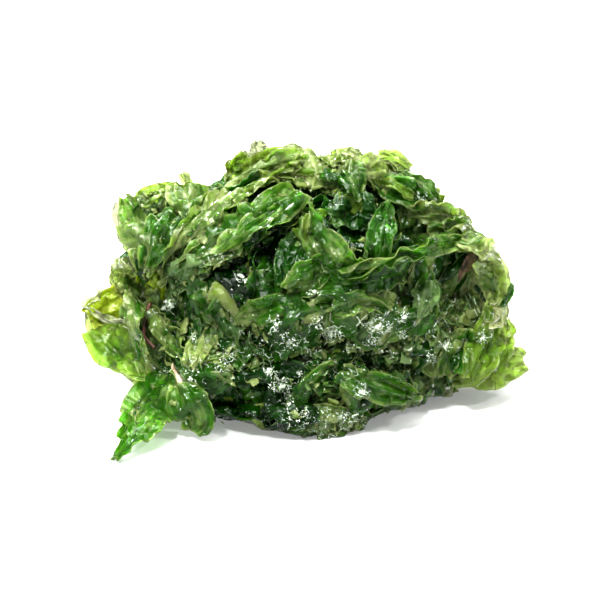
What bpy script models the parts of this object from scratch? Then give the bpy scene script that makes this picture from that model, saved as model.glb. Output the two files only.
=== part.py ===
"""Sea lettuce: one clump of wet, salted blades, folded together and heaped on a flat surface.

Metres, +Z up. The front of the clump faces -Y, and +X is to the right seen from the front.
The clump is built about its heart, the point on the surface below its middle. Five packed
blades lie folded on each other in the middle, and thin blades are draped over them in turn,
each on top of all that lies there already. At the end everything is moved so that the origin
is at the middle of the clump's box, on the surface that it rests on.
"""

import math
from dataclasses import dataclass

import bmesh
import bpy
import numpy as np
from mathutils import Vector
from mathutils.bvhtree import BVHTree

MM = 0.001

# Driving dimensions, in millimetres
HEART = (0.0, 3.0, 0.0)
BLADE_THICKNESS = 1.3
GAP = 0.6
FREE_GAP = 1.6
FLOOR_CLEARANCE = 0.4
PACKED_LEVELS = (0.0, 10.0, 22.0, 35.0, 48.0, 67.3)
CROWN_TOP = 66.7
CROWN_RIM = 63.8
FOLD_DEPTH = 0.8
WAVE_HEIGHT = 1.3
WAVE_LENGTH = (13.0, 17.0)

# How a blade's outline and ruffles run, as shares of its width and of its ruffle height
TAPER_POWER = 0.7
LOBE_SHARE = 0.12
LOBE_SKEW = 0.3
RUFFLE_SKEW = 2.4
RUFFLE_AT_MIDDLE = 0.45

# Mesh fineness
PACKED_SIDES = 22
PACKED_SIDE_SHARES = (0.0, 0.25, 0.5, 0.75, 1.0)
CAP_RING = 0.55
STEM_STEPS = 9

# How the form and the pile are measured
REACH_POWER = 14
REACH_STEPS = np.arange(0.5, 80.0, 0.25)
RAY_START = 200.0
NO_PILE = -1000.0
RAY_NUDGES = ((0.009, 0.004, 0.003), (-0.007, 0.006, -0.005), (0.001, -0.008, 0.006))
SAMPLES_PER_CELL = 4
SAMPLED_PAST_ENDS = 0.06
SAMPLED_PAST_EDGES = 0.2
SETTLING_ROUNDS = 24
RAISE = 1.5
SPANNING_ROUNDS = 3
TANGENT_STEP = 0.02

# The swells that make the clump's form: centre and radii of each, in millimetres
SWELLS = {
    "body": ((3, 6, 20), (40, 29, 43)),
    "crown": ((11, 9, 33), (27, 23, 33)),
    "left_crown": ((-18, 8, 29), (24, 22, 28)),
    "crown_corner": ((-9, 8, 48), (11, 12, 18)),
    "left_shoulder": ((-38.5, 9, 43), (11, 14, 14)),
    "left_foot": ((-38, 6, 16), (11, 16, 11)),
    "right_side": ((39, 15, 21), (13, 18, 21)),
    "right_foot": ((34, 4, 12), (22, 15, 12)),
    "front_apron": ((-4, -13, 9), (30, 19, 15)),
}

# Finishes: colour and roughness
FINISHES = {
    "deep_green": ((0.020, 0.085, 0.012), 0.35),
    "leaf_green": ((0.075, 0.205, 0.022), 0.32),
    "pale_green": ((0.230, 0.400, 0.050), 0.30),
    "red_stem": ((0.190, 0.045, 0.035), 0.45),
    "pale_twig": ((0.480, 0.390, 0.270), 0.60),
    "brown_scrap": ((0.130, 0.085, 0.055), 0.50),
}
DEEP = "deep_green"
LEAF = "leaf_green"
PALE = "pale_green"

# Sides that a blade faces if it stands clear of the pile
UP = (0.0, 0.0, 1.0)
FORWARD = (0.0, -0.9, 0.3)


@dataclass(frozen=True)
class Blade:
    """A blade's middle line and greatest width, in millimetres, and how it lies.

    rows and columns are its cells along and across. ruffle is how far its waves stand up,
    and waves how many there are. end_share is how wide its ends are, as a share of its width,
    and cup is how far its edges stand out past its middle. facing is empty on a draped blade.
    """

    name: str
    line: tuple
    width: float
    finish: str = LEAF
    rows: int = 7
    columns: int = 4
    ruffle: float = 1.6
    waves: float = 1.5
    end_share: float = 0.35
    cup: float = 0.0
    facing: tuple = ()


# The blades folded flat in the middle, from the bottom up. They fill the levels in turn.
PACKED_BLADES = (
    "bed_blade",
    "lower_packed_blade",
    "middle_packed_blade",
    "upper_packed_blade",
    "crown_packed_blade",
)

# Blades that go over the back and the far sides, from the lowest in the pile to the topmost
BACK_BLADES = (
    Blade("back_low_blade", ((-36, 34, 5), (-10, 42, 7), (16, 42, 5)), 13, PALE, 9, 3),
    Blade("back_cross_blade", ((-30, 34, 20), (2, 40, 24), (30, 32, 20)), 18, DEEP, 9, 4, 1.0),
    Blade("back_middle_blade", ((6, 46, 4), (4, 42, 30), (4, 26, 58)), 30, DEEP, 8, 5),
    Blade("back_left_blade", ((-26, 40, 4), (-25, 36, 26), (-18, 26, 50)), 28, LEAF, 8, 5),
    Blade("back_right_blade", ((34, 38, 4), (36, 33, 26), (28, 24, 52)), 28, LEAF, 8, 5),
    Blade("left_back_blade", ((-46, 20, 5), (-45, 22, 24), (-38, 23, 44)), 24, DEEP, 7, 4, 0.6),
    Blade("left_side_blade", ((-52, 2, 5), (-50, 6, 20), (-47, 12, 34)), 16, LEAF, 7, 4, 0.4),
    Blade("right_back_blade", ((52, 24, 4), (52, 24, 22), (44, 20, 42)), 24, DEEP, 7, 4, 1.0),
    Blade("right_foot_blade", ((56, 8, 4), (57, 14, 14), (54, 20, 28)), 18, PALE, 6, 4, 1.0),
    Blade("left_rear_crown_blade", ((-44, 20, 45), (-34, 24, 47), (-21, 28, 49)), 17, LEAF, 6, 4, 0.6),
    Blade("right_rear_crown_blade", ((16, 20, 64), (30, 20, 57), (42, 18, 46)), 20, DEEP, 6, 4, 0.8),
    Blade("back_crown_blade", ((-22, 31, 44), (2, 28, 56), (28, 25, 50)), 20, LEAF, 8, 5, 1.0),
)

# Blades of the front and the crown, from the lowest in the pile to the topmost
FRONT_BLADES = (
    Blade("bottom_fringe_blade", ((-4, -40, 4), (11, -42, 4), (24, -38, 4)), 12, LEAF, 8, 3, 2.2),
    Blade("right_low_blade", ((24, -25, 6), (40, -17, 5), (54, -9, 6)), 15, PALE, 7, 4, 2.4),
    Blade("lower_left_blade", ((-30, -28, 13), (-12, -35, 14), (4, -36, 12)), 17, DEEP, 7, 4, 1.8),
    Blade("dark_hollow_blade", ((-22, -18, 48), (0, -20, 50), (20, -16, 52)), 28, DEEP, 7, 5, 0.6),
    Blade("left_low_blade", ((-41, -10, 27), (-37, -20, 17), (-27, -30, 9)), 18, LEAF, 7, 4, 1.8),
    Blade("right_front_blade", ((38, -8, 46), (45, -8, 30), (42, -13, 12)), 20, LEAF, 7, 4, 1.8),
    Blade("left_front_blade", ((-36, -14, 38), (-28, -21, 28), (-20, -30, 18)), 18, LEAF, 7, 4, 1.8),
    Blade("chopped_front_blade", ((-8, -29, 27), (14, -27, 26), (38, -18, 22)), 20, DEEP, 9, 5, 2.0, 2.5),
    Blade("lower_leaf_blade", ((0, -35, 18), (16, -32, 15), (33, -22, 11)), 12, PALE, 7, 3),
    Blade("front_left_band", ((-25, -21, 38), (-9, -25, 35), (8, -26, 36)), 18, LEAF, 7, 4, 2.0, 2.0),
    Blade("front_right_band", ((4, -25, 38), (22, -22, 37), (38, -15, 34)), 18, LEAF, 7, 4, 2.0, 2.0),
    Blade("grey_leaf_blade", ((12, -8, 63), (13, -17, 55), (14, -21, 46)), 17, DEEP, 6, 4, 1.0),
    Blade("dark_left_blade", ((-12, -19, 49), (-24, -19, 41), (-37, -14, 35)), 15, DEEP, 6, 4, 1.4),
    Blade("centre_leaf_blade", ((3, -17, 54), (-3, -22, 45), (-12, -24, 37)), 14, LEAF, 6, 4),
    Blade("upright_centre_blade", ((24, -1, 66), (23, -15, 54), (21, -21, 44)), 9, LEAF, 6, 3),
    Blade("right_shoulder_blade", ((36, 5, 56), (46, 6, 48), (53, 6, 38)), 17, LEAF, 6, 4, 2.6),
    Blade("left_fold_blade", ((-48, -4, 44), (-45, -8, 29), (-39, -16, 14)), 14, LEAF, 7, 4),
    Blade("second_left_blade", ((12, -11, 62), (-3, -13, 59), (-18, -15, 53), (-32, -15, 42)), 13, LEAF, 9),
    Blade("left_shoulder_blade", ((-57, 8, 61), (-47, -6, 52), (-37, -12, 42)), 17, LEAF, 7, 4, 2.2),
    Blade("upper_left_blade", ((10, -2, 68), (-9, -4, 65), (-24, -10, 57), (-40, -10, 44)), 12, PALE, 9, 4),
    Blade("left_loop_blade", ((-29, 0, 60), (-40, 4, 62), (-55, 6, 58)), 13, PALE, 7, 3, 4.2),
    Blade("crown_left_blade", ((-19, -2, 64), (-13, 9, 66), (0, 6, 69)), 11, PALE, 7, 3, 1.8),
    Blade("crown_ridge_blade", ((-8, 2, 67), (8, 3, 70), (24, 3, 69)), 14, LEAF, 7, 4, 2.0),
    Blade("crown_right_blade", ((10, 5, 70), (26, 6, 67), (39, 8, 58)), 14, PALE, 7, 4, 3.0),
    Blade("hanging_leaf_blade", ((15, 1, 70), (16, -9, 64), (17, -14, 57)), 9, PALE, 6, 3, 1.4),
    Blade("right_crest_blade", ((25, -4, 65), (34, -1, 60), (39, -3, 53), (41, -8, 45)), 9, LEAF, 8, 3, 1.4),
    Blade("glossy_curl_blade", ((2, -14, 59), (5, -19, 51), (13, -22, 45), (24, -19, 45)), 10, LEAF, 8, 3),
    Blade("long_ribbon_blade", ((8, -23, 43), (24, -18, 46), (39, -6, 46), (52, 7, 43)), 6, LEAF, 9, 3, 1.2),
    Blade("brown_scrap", ((46, -1, 44), (45, -5, 39)), 5, "brown_scrap", 3, 2, 0.4),
)

# Blades that stand clear of the pile at its edges, each where its own line is
FREE_BLADES = (
    Blade(
        "front_left_short_blade", ((-21, -22, 10), (-28, -28, 4), (-31.5, -34, 1)), 13, PALE,
        rows=6, ruffle=0.8, waves=1.0, end_share=0.5, facing=UP,
    ),
    Blade(
        "front_left_tip_blade", ((-33, -13, 10), (-40, -22, 5), (-44, -33, 3), (-50, -47, 1)), 15, LEAF,
        rows=9, ruffle=1.2, waves=2.0, end_share=0.12, cup=0.6, facing=UP,
    ),
    Blade(
        "left_pocket_blade", ((-42.5, -9, 10), (-48.8, -7, 17), (-54, -4, 25), (-57, -2, 32)), 16.6, PALE,
        rows=8, columns=5, ruffle=1.0, waves=1.0, end_share=0.55, cup=3.0, facing=FORWARD,
    ),
    Blade(
        "right_bright_blade", ((46, 0, 46), (51, 1, 38), (52.5, 2, 28), (50, 0, 18)), 14, PALE,
        rows=8, ruffle=1.0, waves=1.0, end_share=0.5, cup=1.5, facing=FORWARD,
    ),
    Blade(
        "right_tip_blade", ((44, -10, 10), (54, -7, 11), (64, -4, 11.5)), 11, PALE,
        rows=6, ruffle=1.0, end_share=0.5, cup=0.8, facing=FORWARD,
    ),
    Blade(
        "crown_cup_blade", ((-12.3, 7.5, 68.8), (-12.6, 7, 71.8), (-12.6, 7.5, 75)), 7, PALE,
        rows=5, columns=3, ruffle=0.3, waves=1.0, end_share=0.6, cup=1.2, facing=FORWARD,
    ),
    Blade(
        "crown_disc_blade", ((-17, 8, 67.4), (-17, 8, 69.5), (-17, 8, 71.6)), 5, PALE,
        rows=5, columns=2, ruffle=0.2, waves=1.0, end_share=0.6, cup=0.4, facing=FORWARD,
    ),
)

# Thin stems caught on the left of the front: middle line and diameter, in millimetres
STEMS = {
    "red_stem": (((-44, -7, 31), (-44, -11, 26), (-42, -13, 22), (-38, -15, 19)), 1.1),
    "pale_twig": (((-36, -17, 20), (-33, -24, 16), (-30, -28, 13)), 1.8),
}


def clear_scene():
    """Removes every object, so that the clump is alone."""
    for obj in list(bpy.data.objects):
        bpy.data.objects.remove(obj, do_unlink=True)


def new_collection(name):
    """Adds a collection to the scene."""
    collection = bpy.data.collections.new(name)
    bpy.context.scene.collection.children.link(collection)
    return collection


def make_finish(name):
    """Makes one of the finishes as a material."""
    colour, roughness = FINISHES[name]
    material = bpy.data.materials.new(name)
    material.use_nodes = True
    shader = material.node_tree.nodes["Principled BSDF"]
    shader.inputs["Base Color"].default_value = (*colour, 1.0)
    shader.inputs["Roughness"].default_value = roughness
    shader.inputs["Metallic"].default_value = 0.0
    material.diffuse_color = (*colour, 1.0)
    return material


def new_object(name, shape, material, collection):
    """Turns a finished bmesh into an object of one material."""
    mesh = bpy.data.meshes.new(name)
    shape.to_mesh(mesh)
    shape.free()
    mesh.shade_smooth()
    mesh.materials.append(material)
    obj = bpy.data.objects.new(name, mesh)
    collection.objects.link(obj)
    return obj


def unit(vector):
    """A vector's direction, with a length of one."""
    return vector / np.linalg.norm(vector)


def reach(directions):
    """How far the form's surface is from the heart along each unit direction, in millimetres.

    Each swell gives the distance at which the ray leaves it, and the high power of the sum
    blends the furthest of them into one smooth surface.
    """
    total = np.zeros(len(directions))
    for centre, radii in SWELLS.values():
        start = (np.array(HEART) - centre) / radii
        ray = directions / radii
        a = (ray * ray).sum(axis=1)
        b = ray @ start
        c = start @ start - 1
        inside = b * b - a * c
        leaving = (-b + np.sqrt(np.maximum(inside, 0))) / a
        total += np.where(inside > 0, np.maximum(leaving, 0), 0) ** REACH_POWER
    return total ** (1 / REACH_POWER)


def side_radius(angle, height):
    """The form's horizontal reach from the heart's upright axis at an angle and a height."""
    x, y = REACH_STEPS * math.sin(angle), -REACH_STEPS * math.cos(angle)
    points = np.stack([x, y, np.full(len(REACH_STEPS), height)], axis=1)
    lengths = np.linalg.norm(points, axis=1)
    inside = lengths < reach(points / lengths[:, None])
    return REACH_STEPS[inside].max() if inside.any() else REACH_STEPS[0]


def wave(x, y, height):
    """The height of the wavy face between two packed blades. The lowest face is flat."""
    if height == PACKED_LEVELS[0]:
        return height
    long_wave, cross_wave = WAVE_LENGTH
    return height + WAVE_HEIGHT * math.sin(x / long_wave + height) * math.cos(y / cross_wave)


def bottom_height(x, y, low):
    """The height of a packed blade's underside, just clear of the blade below it."""
    return wave(x, y, low) + (GAP if low > PACKED_LEVELS[0] else 0.0)


def top_height(x, y, high, on_side):
    """The height of a packed blade's upper side. The topmost one is domed."""
    if high < PACKED_LEVELS[-1]:
        return wave(x, y, high)
    return CROWN_RIM if on_side else CROWN_TOP


def packed_ring(angle, ring, low, high):
    """A point of a packed blade, by its angle and by the ring's number from the bottom up."""
    on_side = 0 < ring <= len(PACKED_SIDE_SHARES)
    if on_side:
        share, fraction = 1.0, PACKED_SIDE_SHARES[ring - 1]
    else:
        share, fraction = CAP_RING, 0.0 if ring == 0 else 1.0
    fold = FOLD_DEPTH if on_side and ring % 2 == 0 else -FOLD_DEPTH
    radius = share * (side_radius(angle, low + fraction * (high - low)) + fold)
    x = HEART[0] + radius * math.sin(angle)
    y = HEART[1] - radius * math.cos(angle)
    bottom, top = bottom_height(x, y, low), top_height(x, y, high, on_side)
    return Vector((x, y, bottom + fraction * (top - bottom))) * MM


def packed_blade(name, low, high, material, collection):
    """One of the blades folded flat in the middle: a globe whose rings are set on the form."""
    shape = bmesh.new()
    rings = len(PACKED_SIDE_SHARES) + 3
    bmesh.ops.create_uvsphere(shape, u_segments=PACKED_SIDES, v_segments=rings, radius=1.0)
    for vertex in shape.verts:
        x, y, z = vertex.co
        step = round(math.acos(max(-1.0, min(1.0, -z))) / math.pi * rings)
        if step == 0:
            vertex.co = Vector((HEART[0], HEART[1], bottom_height(HEART[0], HEART[1], low))) * MM
        elif step == rings:
            peak = PACKED_LEVELS[-1] if high == PACKED_LEVELS[-1] else wave(HEART[0], HEART[1], high)
            vertex.co = Vector((HEART[0], HEART[1], peak)) * MM
        else:
            vertex.co = packed_ring(math.atan2(x, -y), step - 1, low, high)
    return new_object(name, shape, material, collection)


class Pile:
    """The solids laid so far, which the next blade has to lie on."""

    def __init__(self):
        self.points = []
        self.faces = []
        self.objects = []
        self.tree = None

    def add(self, obj):
        """Takes in an object's finished mesh."""
        bpy.context.view_layer.update()
        evaluated = obj.evaluated_get(bpy.context.evaluated_depsgraph_get())
        mesh = evaluated.to_mesh()
        first = len(self.points)
        self.points.extend(vertex.co.copy() for vertex in mesh.vertices)
        self.faces.extend([first + i for i in face.vertices] for face in mesh.polygons)
        evaluated.to_mesh_clear()
        self.objects.append(obj)
        self.tree = BVHTree.FromPolygons(self.points, self.faces)

    def top(self, base, direction):
        """How far from a base point the pile's outside is along a direction, in millimetres.

        It takes the furthest of a few rays side by side, because one could slip past an edge.
        """
        furthest = NO_PILE
        for nudge in RAY_NUDGES:
            ray = Vector(unit(direction + np.array(nudge)))
            start = (Vector(base) + ray * RAY_START) * MM
            distance = self.tree.ray_cast(start, -ray, 2 * RAY_START * MM)[3]
            if distance is not None:
                furthest = max(furthest, RAY_START - distance / MM)
        return furthest

    def move_to_origin(self):
        """Sets the origin at the middle of the clump's box, on the surface that it rests on."""
        points = np.array([tuple(point) for point in self.points])
        low, high = points.min(axis=0), points.max(axis=0)
        for obj in self.objects:
            obj.location = (-(low[0] + high[0]) / 2, -(low[1] + high[1]) / 2, -low[2])


def along(line, share):
    """The point at a share of the way along a smooth curve through a line's points."""
    points = [np.array(p, float) for p in line]
    points = [2 * points[0] - points[1], *points, 2 * points[-1] - points[-2]]
    place = share * (len(line) - 1)
    i = min(max(int(place), 0), len(line) - 2)
    t = place - i
    a, b, c, d = points[i : i + 4]
    return b + 0.5 * ((c - a) * t + (2 * a - 5 * b + 4 * c - d) * t**2 + (3 * b - 3 * c + d - a) * t**3)


def facing_side(blade, point):
    """The side a blade faces at a point: its own one, or straight out from the heart."""
    return unit(np.array(blade.facing)) if blade.facing else unit(point - HEART)


def blade_point(blade, u, v):
    """A point of a blade before it is laid down: u runs along it, and v from -1 to 1 across it."""
    middle = along(blade.line, u)
    tangent = unit(along(blade.line, u + TANGENT_STEP) - along(blade.line, u - TANGENT_STEP))
    outward = facing_side(blade, middle)
    across = unit(np.cross(tangent, outward))
    fullness = max(math.sin(math.pi * u), 0.0) ** TAPER_POWER
    taper = blade.end_share + (1 - blade.end_share) * fullness
    lobes = 1 + LOBE_SHARE * math.sin(2 * math.pi * (blade.waves * u + LOBE_SKEW * v))
    half = blade.width / 2 * taper * lobes
    return middle + across * half * v + outward * blade.cup * (v * v - 0.5)


def lift_line(blade, point):
    """The base and the direction along which a blade's point is raised off the pile.

    A blade that faces forward is raised the way it faces, and the others straight out from the
    heart.
    """
    if blade.facing == FORWARD:
        return point, unit(np.array(FORWARD))
    return np.array(HEART), unit(point - HEART)


def first_height(blade, point, pile):
    """The height of a blade's point before it is raised, along its own line."""
    if blade.facing == FORWARD:
        return 0.0
    if blade.facing == UP:
        return np.linalg.norm(point - HEART)
    return max(pile.top(*lift_line(blade, point)), 0.0)


def ruffle(blade, u, v):
    """How far a blade's wavy face stands off what it lies on. It is never negative."""
    phase = len(blade.name)
    swing = 0.5 + 0.5 * math.sin(2 * math.pi * blade.waves * u + RUFFLE_SKEW * v + phase)
    return blade.ruffle * swing * (RUFFLE_AT_MIDDLE + (1 - RUFFLE_AT_MIDDLE) * v * v)


def chord_sag(blade):
    """How much nearer the heart the middle of a flat cell is than the cell's corners."""
    steps = [along(blade.line, i / blade.rows) for i in range(blade.rows + 1)]
    length = max(np.linalg.norm(b - a) for a, b in zip(steps, steps[1:]))
    radius = min(np.linalg.norm(step - HEART) for step in steps)
    return (length**2 + (blade.width / blade.columns) ** 2) / (8 * radius)


def samples(blade, pile):
    """The pile's reach at fine steps under a blade, each with its cell and its place in the cell."""
    found = []
    fine_rows, fine_columns = blade.rows * SAMPLES_PER_CELL, blade.columns * SAMPLES_PER_CELL
    for i in range(fine_rows + 1):
        for j in range(fine_columns + 1):
            u = i / fine_rows * (1 + 2 * SAMPLED_PAST_ENDS) - SAMPLED_PAST_ENDS
            v = (2 * j / fine_columns - 1) * (1 + SAMPLED_PAST_EDGES)
            top = pile.top(*lift_line(blade, blade_point(blade, u, v)))
            row = min(max(u, 0.0), 1.0) * blade.rows
            column = min(max((v + 1) / 2, 0.0), 1.0) * blade.columns
            cell = (min(int(row), blade.rows - 1), min(int(column), blade.columns - 1))
            found.append((top, cell, row - cell[0], column - cell[1]))
    return found


def cell_height(corners, s, t):
    """The lower of the two surfaces that a cell can have, one for each way of splitting it."""
    a, b, c, d = corners
    if s > t:
        first = a + s * (b - a) + t * (d - b)
    else:
        first = a + t * (c - a) + s * (d - c)
    if s + t < 1:
        second = a + s * (b - a) + t * (c - a)
    else:
        second = d + (1 - s) * (c - d) + (1 - t) * (b - d)
    return min(first, second)


def lowest_clear(blade, pile, heights, margin):
    """Raises a blade's corners, each as little as will do, until no cell comes near the pile.

    No corner rises above the highest that the pile reaches in the cells round it.
    """
    found = samples(blade, pile)
    ceiling = heights.copy()
    for top, (row, column), _, _ in found:
        around = ceiling[row : row + 2, column : column + 2]
        np.maximum(around, top + margin, out=around)
    for _ in range(SETTLING_ROUNDS):
        worst = 0.0
        for top, (row, column), s, t in found:
            places = ((row, column), (row + 1, column), (row, column + 1), (row + 1, column + 1))
            shares = ((1 - s) * (1 - t), s * (1 - t), (1 - s) * t, s * t)
            lack = top + margin - cell_height([heights[place] for place in places], s, t)
            if lack > 0:
                worst = max(worst, lack)
                for place, share in zip(places, shares):
                    heights[place] = min(heights[place] + lack * share * RAISE, ceiling[place])
    return np.minimum(heights + worst, ceiling)


def spanned(heights):
    """Heights with their pits filled, because a blade spans a hollow instead of lining it."""
    for _ in range(SPANNING_ROUNDS):
        padded = np.pad(heights, 1, mode="edge")
        mean = (padded[:-2, 1:-1] + padded[2:, 1:-1] + padded[1:-1, :-2] + padded[1:-1, 2:]) / 4
        heights = np.maximum(heights, mean - GAP)
    return heights


def settled_heights(blade, pile):
    """How far from the heart each corner of a blade's grid lies, before its ruffles."""
    corners = np.zeros((blade.rows + 1, blade.columns + 1))
    for i in range(blade.rows + 1):
        for j in range(blade.columns + 1):
            point = blade_point(blade, i / blade.rows, 2 * j / blade.columns - 1)
            corners[i, j] = first_height(blade, point, pile)
    if blade.facing:
        return lowest_clear(blade, pile, corners, FREE_GAP + chord_sag(blade))
    return spanned(lowest_clear(blade, pile, corners, GAP + chord_sag(blade)))


def lay_blade(blade, pile, material, collection):
    """Makes a blade as a thin solid on the pile, or where its line is if it faces its own side."""
    heights = settled_heights(blade, pile)
    lowest = FLOOR_CLEARANCE if blade.facing == UP else FLOOR_CLEARANCE + BLADE_THICKNESS
    shape = bmesh.new()
    bmesh.ops.create_grid(shape, x_segments=blade.columns, y_segments=blade.rows, size=0.5)
    for vertex in shape.verts:
        u, v = vertex.co.y + 0.5, 2 * vertex.co.x
        base, ray = lift_line(blade, blade_point(blade, u, v))
        height = heights[round(u * blade.rows), round((v + 1) / 2 * blade.columns)]
        place = base + ray * (height + ruffle(blade, u, v))
        place[2] = max(place[2], lowest)
        vertex.co = Vector(place) * MM
    shape.normal_update()
    turns = [
        face.normal.dot(facing_side(blade, np.array(face.calc_center_median()) / MM))
        for face in shape.faces
    ]
    if sum(turns) < 0:
        bmesh.ops.reverse_faces(shape, faces=shape.faces)
    obj = new_object(blade.name, shape, material, collection)
    wall = obj.modifiers.new("thickness", "SOLIDIFY")
    wall.thickness = BLADE_THICKNESS * MM
    wall.offset = 1.0
    return obj


def lay_stem(name, pile, material, collection):
    """Makes a thin stem as a tube that lies on the pile."""
    line, diameter = STEMS[name]
    curve = bpy.data.curves.new(name, "CURVE")
    curve.dimensions = "3D"
    curve.bevel_depth = diameter / 2 * MM
    curve.bevel_resolution = 2
    curve.use_fill_caps = True
    spline = curve.splines.new("POLY")
    spline.points.add(STEM_STEPS)
    rays = [unit(along(line, i / STEM_STEPS) - HEART) for i in range(STEM_STEPS + 1)]
    tops = [pile.top(HEART, ray) for ray in rays]
    for i, ray in enumerate(rays):
        nearby = max(tops[max(i - 1, 0) : i + 2])
        place = HEART + ray * (nearby + 2 * GAP + diameter / 2)
        spline.points[i].co = (*(place * MM), 1.0)
    curve.materials.append(material)
    obj = bpy.data.objects.new(name, curve)
    collection.objects.link(obj)
    return obj


def main():
    """Builds the clump from the bottom up."""
    clear_scene()
    collection = new_collection("sea_lettuce")
    finishes = {name: make_finish(name) for name in FINISHES}
    pile = Pile()
    for name, low, high in zip(PACKED_BLADES, PACKED_LEVELS, PACKED_LEVELS[1:]):
        pile.add(packed_blade(name, low, high, finishes[DEEP], collection))
    for blade in BACK_BLADES + FRONT_BLADES:
        pile.add(lay_blade(blade, pile, finishes[blade.finish], collection))
    for name in STEMS:
        pile.add(lay_stem(name, pile, finishes[name], collection))
    for blade in FREE_BLADES:
        pile.add(lay_blade(blade, pile, finishes[blade.finish], collection))
    pile.move_to_origin()


main()
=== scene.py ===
"""Looks of the sea lettuce: wet, thin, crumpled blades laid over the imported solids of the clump.

Lengths are in millimetres and in the pile's own frame until a mesh is made. Every blade starts as a
sheet that is too large for the place it lies in, and is relaxed until it folds to fit.
"""

import logging
import math
from dataclasses import dataclass, field
from enum import Enum

import bmesh
import bpy
import numpy as np
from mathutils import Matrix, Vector
from mathutils.bvhtree import BVHTree

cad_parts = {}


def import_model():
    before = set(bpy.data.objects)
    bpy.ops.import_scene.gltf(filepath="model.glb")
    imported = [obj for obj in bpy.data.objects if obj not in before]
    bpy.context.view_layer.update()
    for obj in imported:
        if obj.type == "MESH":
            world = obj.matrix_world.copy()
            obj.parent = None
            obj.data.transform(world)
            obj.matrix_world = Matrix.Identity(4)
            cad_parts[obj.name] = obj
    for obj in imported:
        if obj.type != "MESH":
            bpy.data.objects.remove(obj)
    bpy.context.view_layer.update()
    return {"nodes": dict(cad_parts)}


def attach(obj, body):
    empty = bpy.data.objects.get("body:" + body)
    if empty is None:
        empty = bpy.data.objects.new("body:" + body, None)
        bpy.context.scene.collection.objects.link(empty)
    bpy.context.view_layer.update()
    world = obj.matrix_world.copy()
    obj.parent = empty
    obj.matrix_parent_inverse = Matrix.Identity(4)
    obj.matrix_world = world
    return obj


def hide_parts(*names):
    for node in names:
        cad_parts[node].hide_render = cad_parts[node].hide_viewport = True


MM = 0.001
PILE_ZERO = np.array((-1.15, 1.08, 0.0))
HEART = np.array((0.0, 3.0, 0.0))
FORWARD = (0.0, -0.9, 0.3)
FLOOR_GAP = 0.15
FAR = 200.0
SEED = 4127
BROADER = 1.25  # a leaf is this much broader than its line says
CLOSER = 0.6  # and stands out by this share of the distance that it says
BODY = "root"

Pair = tuple[np.ndarray, np.ndarray]
Random = np.random.Generator
Socket = bpy.types.NodeSocket

log = logging.getLogger("sea_lettuce")


class Finish(Enum):
    """The finishes that a blade can have."""

    DEEP = "deep_green"
    LEAF = "leaf_green"
    PALE = "pale_green"
    FILM = "pale_film"
    SUNNY = "sunny_yellow"

    def slot(self) -> str:
        """The material slot that the finish belongs to."""
        return "pale_green" if self in (Finish.FILM, Finish.SUNNY) else self.value


def unit(vectors: np.ndarray) -> np.ndarray:
    """Vectors scaled to a length of one.

    Args:
        vectors: array whose last axis is x, y, z.

    Returns:
        The directions, in an array of the same shape.
    """
    return vectors / (np.linalg.norm(vectors, axis=-1, keepdims=True) + 1e-9)


def to_row(points: np.ndarray) -> np.ndarray:
    """Points of the pile's frame, in millimetres, as points of the row frame, in metres."""
    return (points + PILE_ZERO) * MM


def along(line: tuple, shares: np.ndarray) -> np.ndarray:
    """Points on a smooth curve through a line's points.

    Args:
        line: the points that the curve goes through.
        shares: how far along each wanted point is, from 0 to 1.

    Returns:
        One point for each share.
    """
    knots = np.array(line, float)
    knots = np.vstack([2 * knots[0] - knots[1], knots, 2 * knots[-1] - knots[-2]])
    place = np.asarray(shares, float) * (len(line) - 1)
    i = np.clip(place.astype(int), 0, len(line) - 2)
    t = (place - i)[:, None]
    a, b, c, d = knots[i], knots[i + 1], knots[i + 2], knots[i + 3]
    return b + 0.5 * ((c - a) * t + (2 * a - 5 * b + 4 * c - d) * t**2 + (3 * b - 3 * c + d - a) * t**3)


def filled(values: np.ndarray) -> np.ndarray:
    """Values with their gaps bridged by the mean of what is round them.

    Args:
        values: a grid that holds nan where nothing was found.

    Returns:
        The grid without gaps.
    """
    known = ~np.isnan(values)
    result = np.where(known, values, np.nanmean(values))
    for _ in range(60):
        result = np.where(known, result, near_mean(np.pad(result, 1, mode="edge")))
    return result


def near_mean(padded: np.ndarray) -> np.ndarray:
    """The mean of each cell's four neighbours, in a grid that has a border of one cell."""
    return (padded[:-2, 1:-1] + padded[2:, 1:-1] + padded[1:-1, :-2] + padded[1:-1, 2:]) / 4


def within(seen: np.ndarray, x: float, y: float, half_width: float, half_height: float) -> np.ndarray:
    """How far inside an oval of the image some places are: 1 in its middle and 0 well outside."""
    off = ((seen[..., 0] - x) / half_width) ** 2 + ((seen[..., 1] - y) / half_height) ** 2
    return np.exp(-(off**1.5))


def outward_ray(turn: float, height: float) -> np.ndarray:
    """The unit direction at a turn about the upright axis that rises by a share of its length."""
    flat = math.sqrt(1 - height * height)
    return np.array((math.sin(turn) * flat, -math.cos(turn) * flat, height))


def inward_rays(random: Random, count: int, gap: float, heights: tuple, power: float = 1.0) -> list[Pair]:
    """Random rays from far outside to the heart, for the sides and the back.

    Args:
        random: the source of chance.
        count: how many.
        gap: how far from the front's middle they stay on both sides, in radians.
        heights: the least and the greatest rise.
        power: more than 1 brings them lower.

    Returns:
        The start and the direction of each.
    """
    rays = []
    for _ in range(count):
        turn, height = random.uniform(gap, 2 * math.pi - gap), random.uniform(*heights) ** power
        ray = outward_ray(turn, height)
        rays.append((HEART + ray * FAR, -ray))
    return rays


def draws(random: Random, count: int, *spans: tuple) -> np.ndarray:
    """A column of random values for each span, from its least to its greatest value."""
    return np.column_stack([random.uniform(low, high, count) for low, high in spans])


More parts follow.
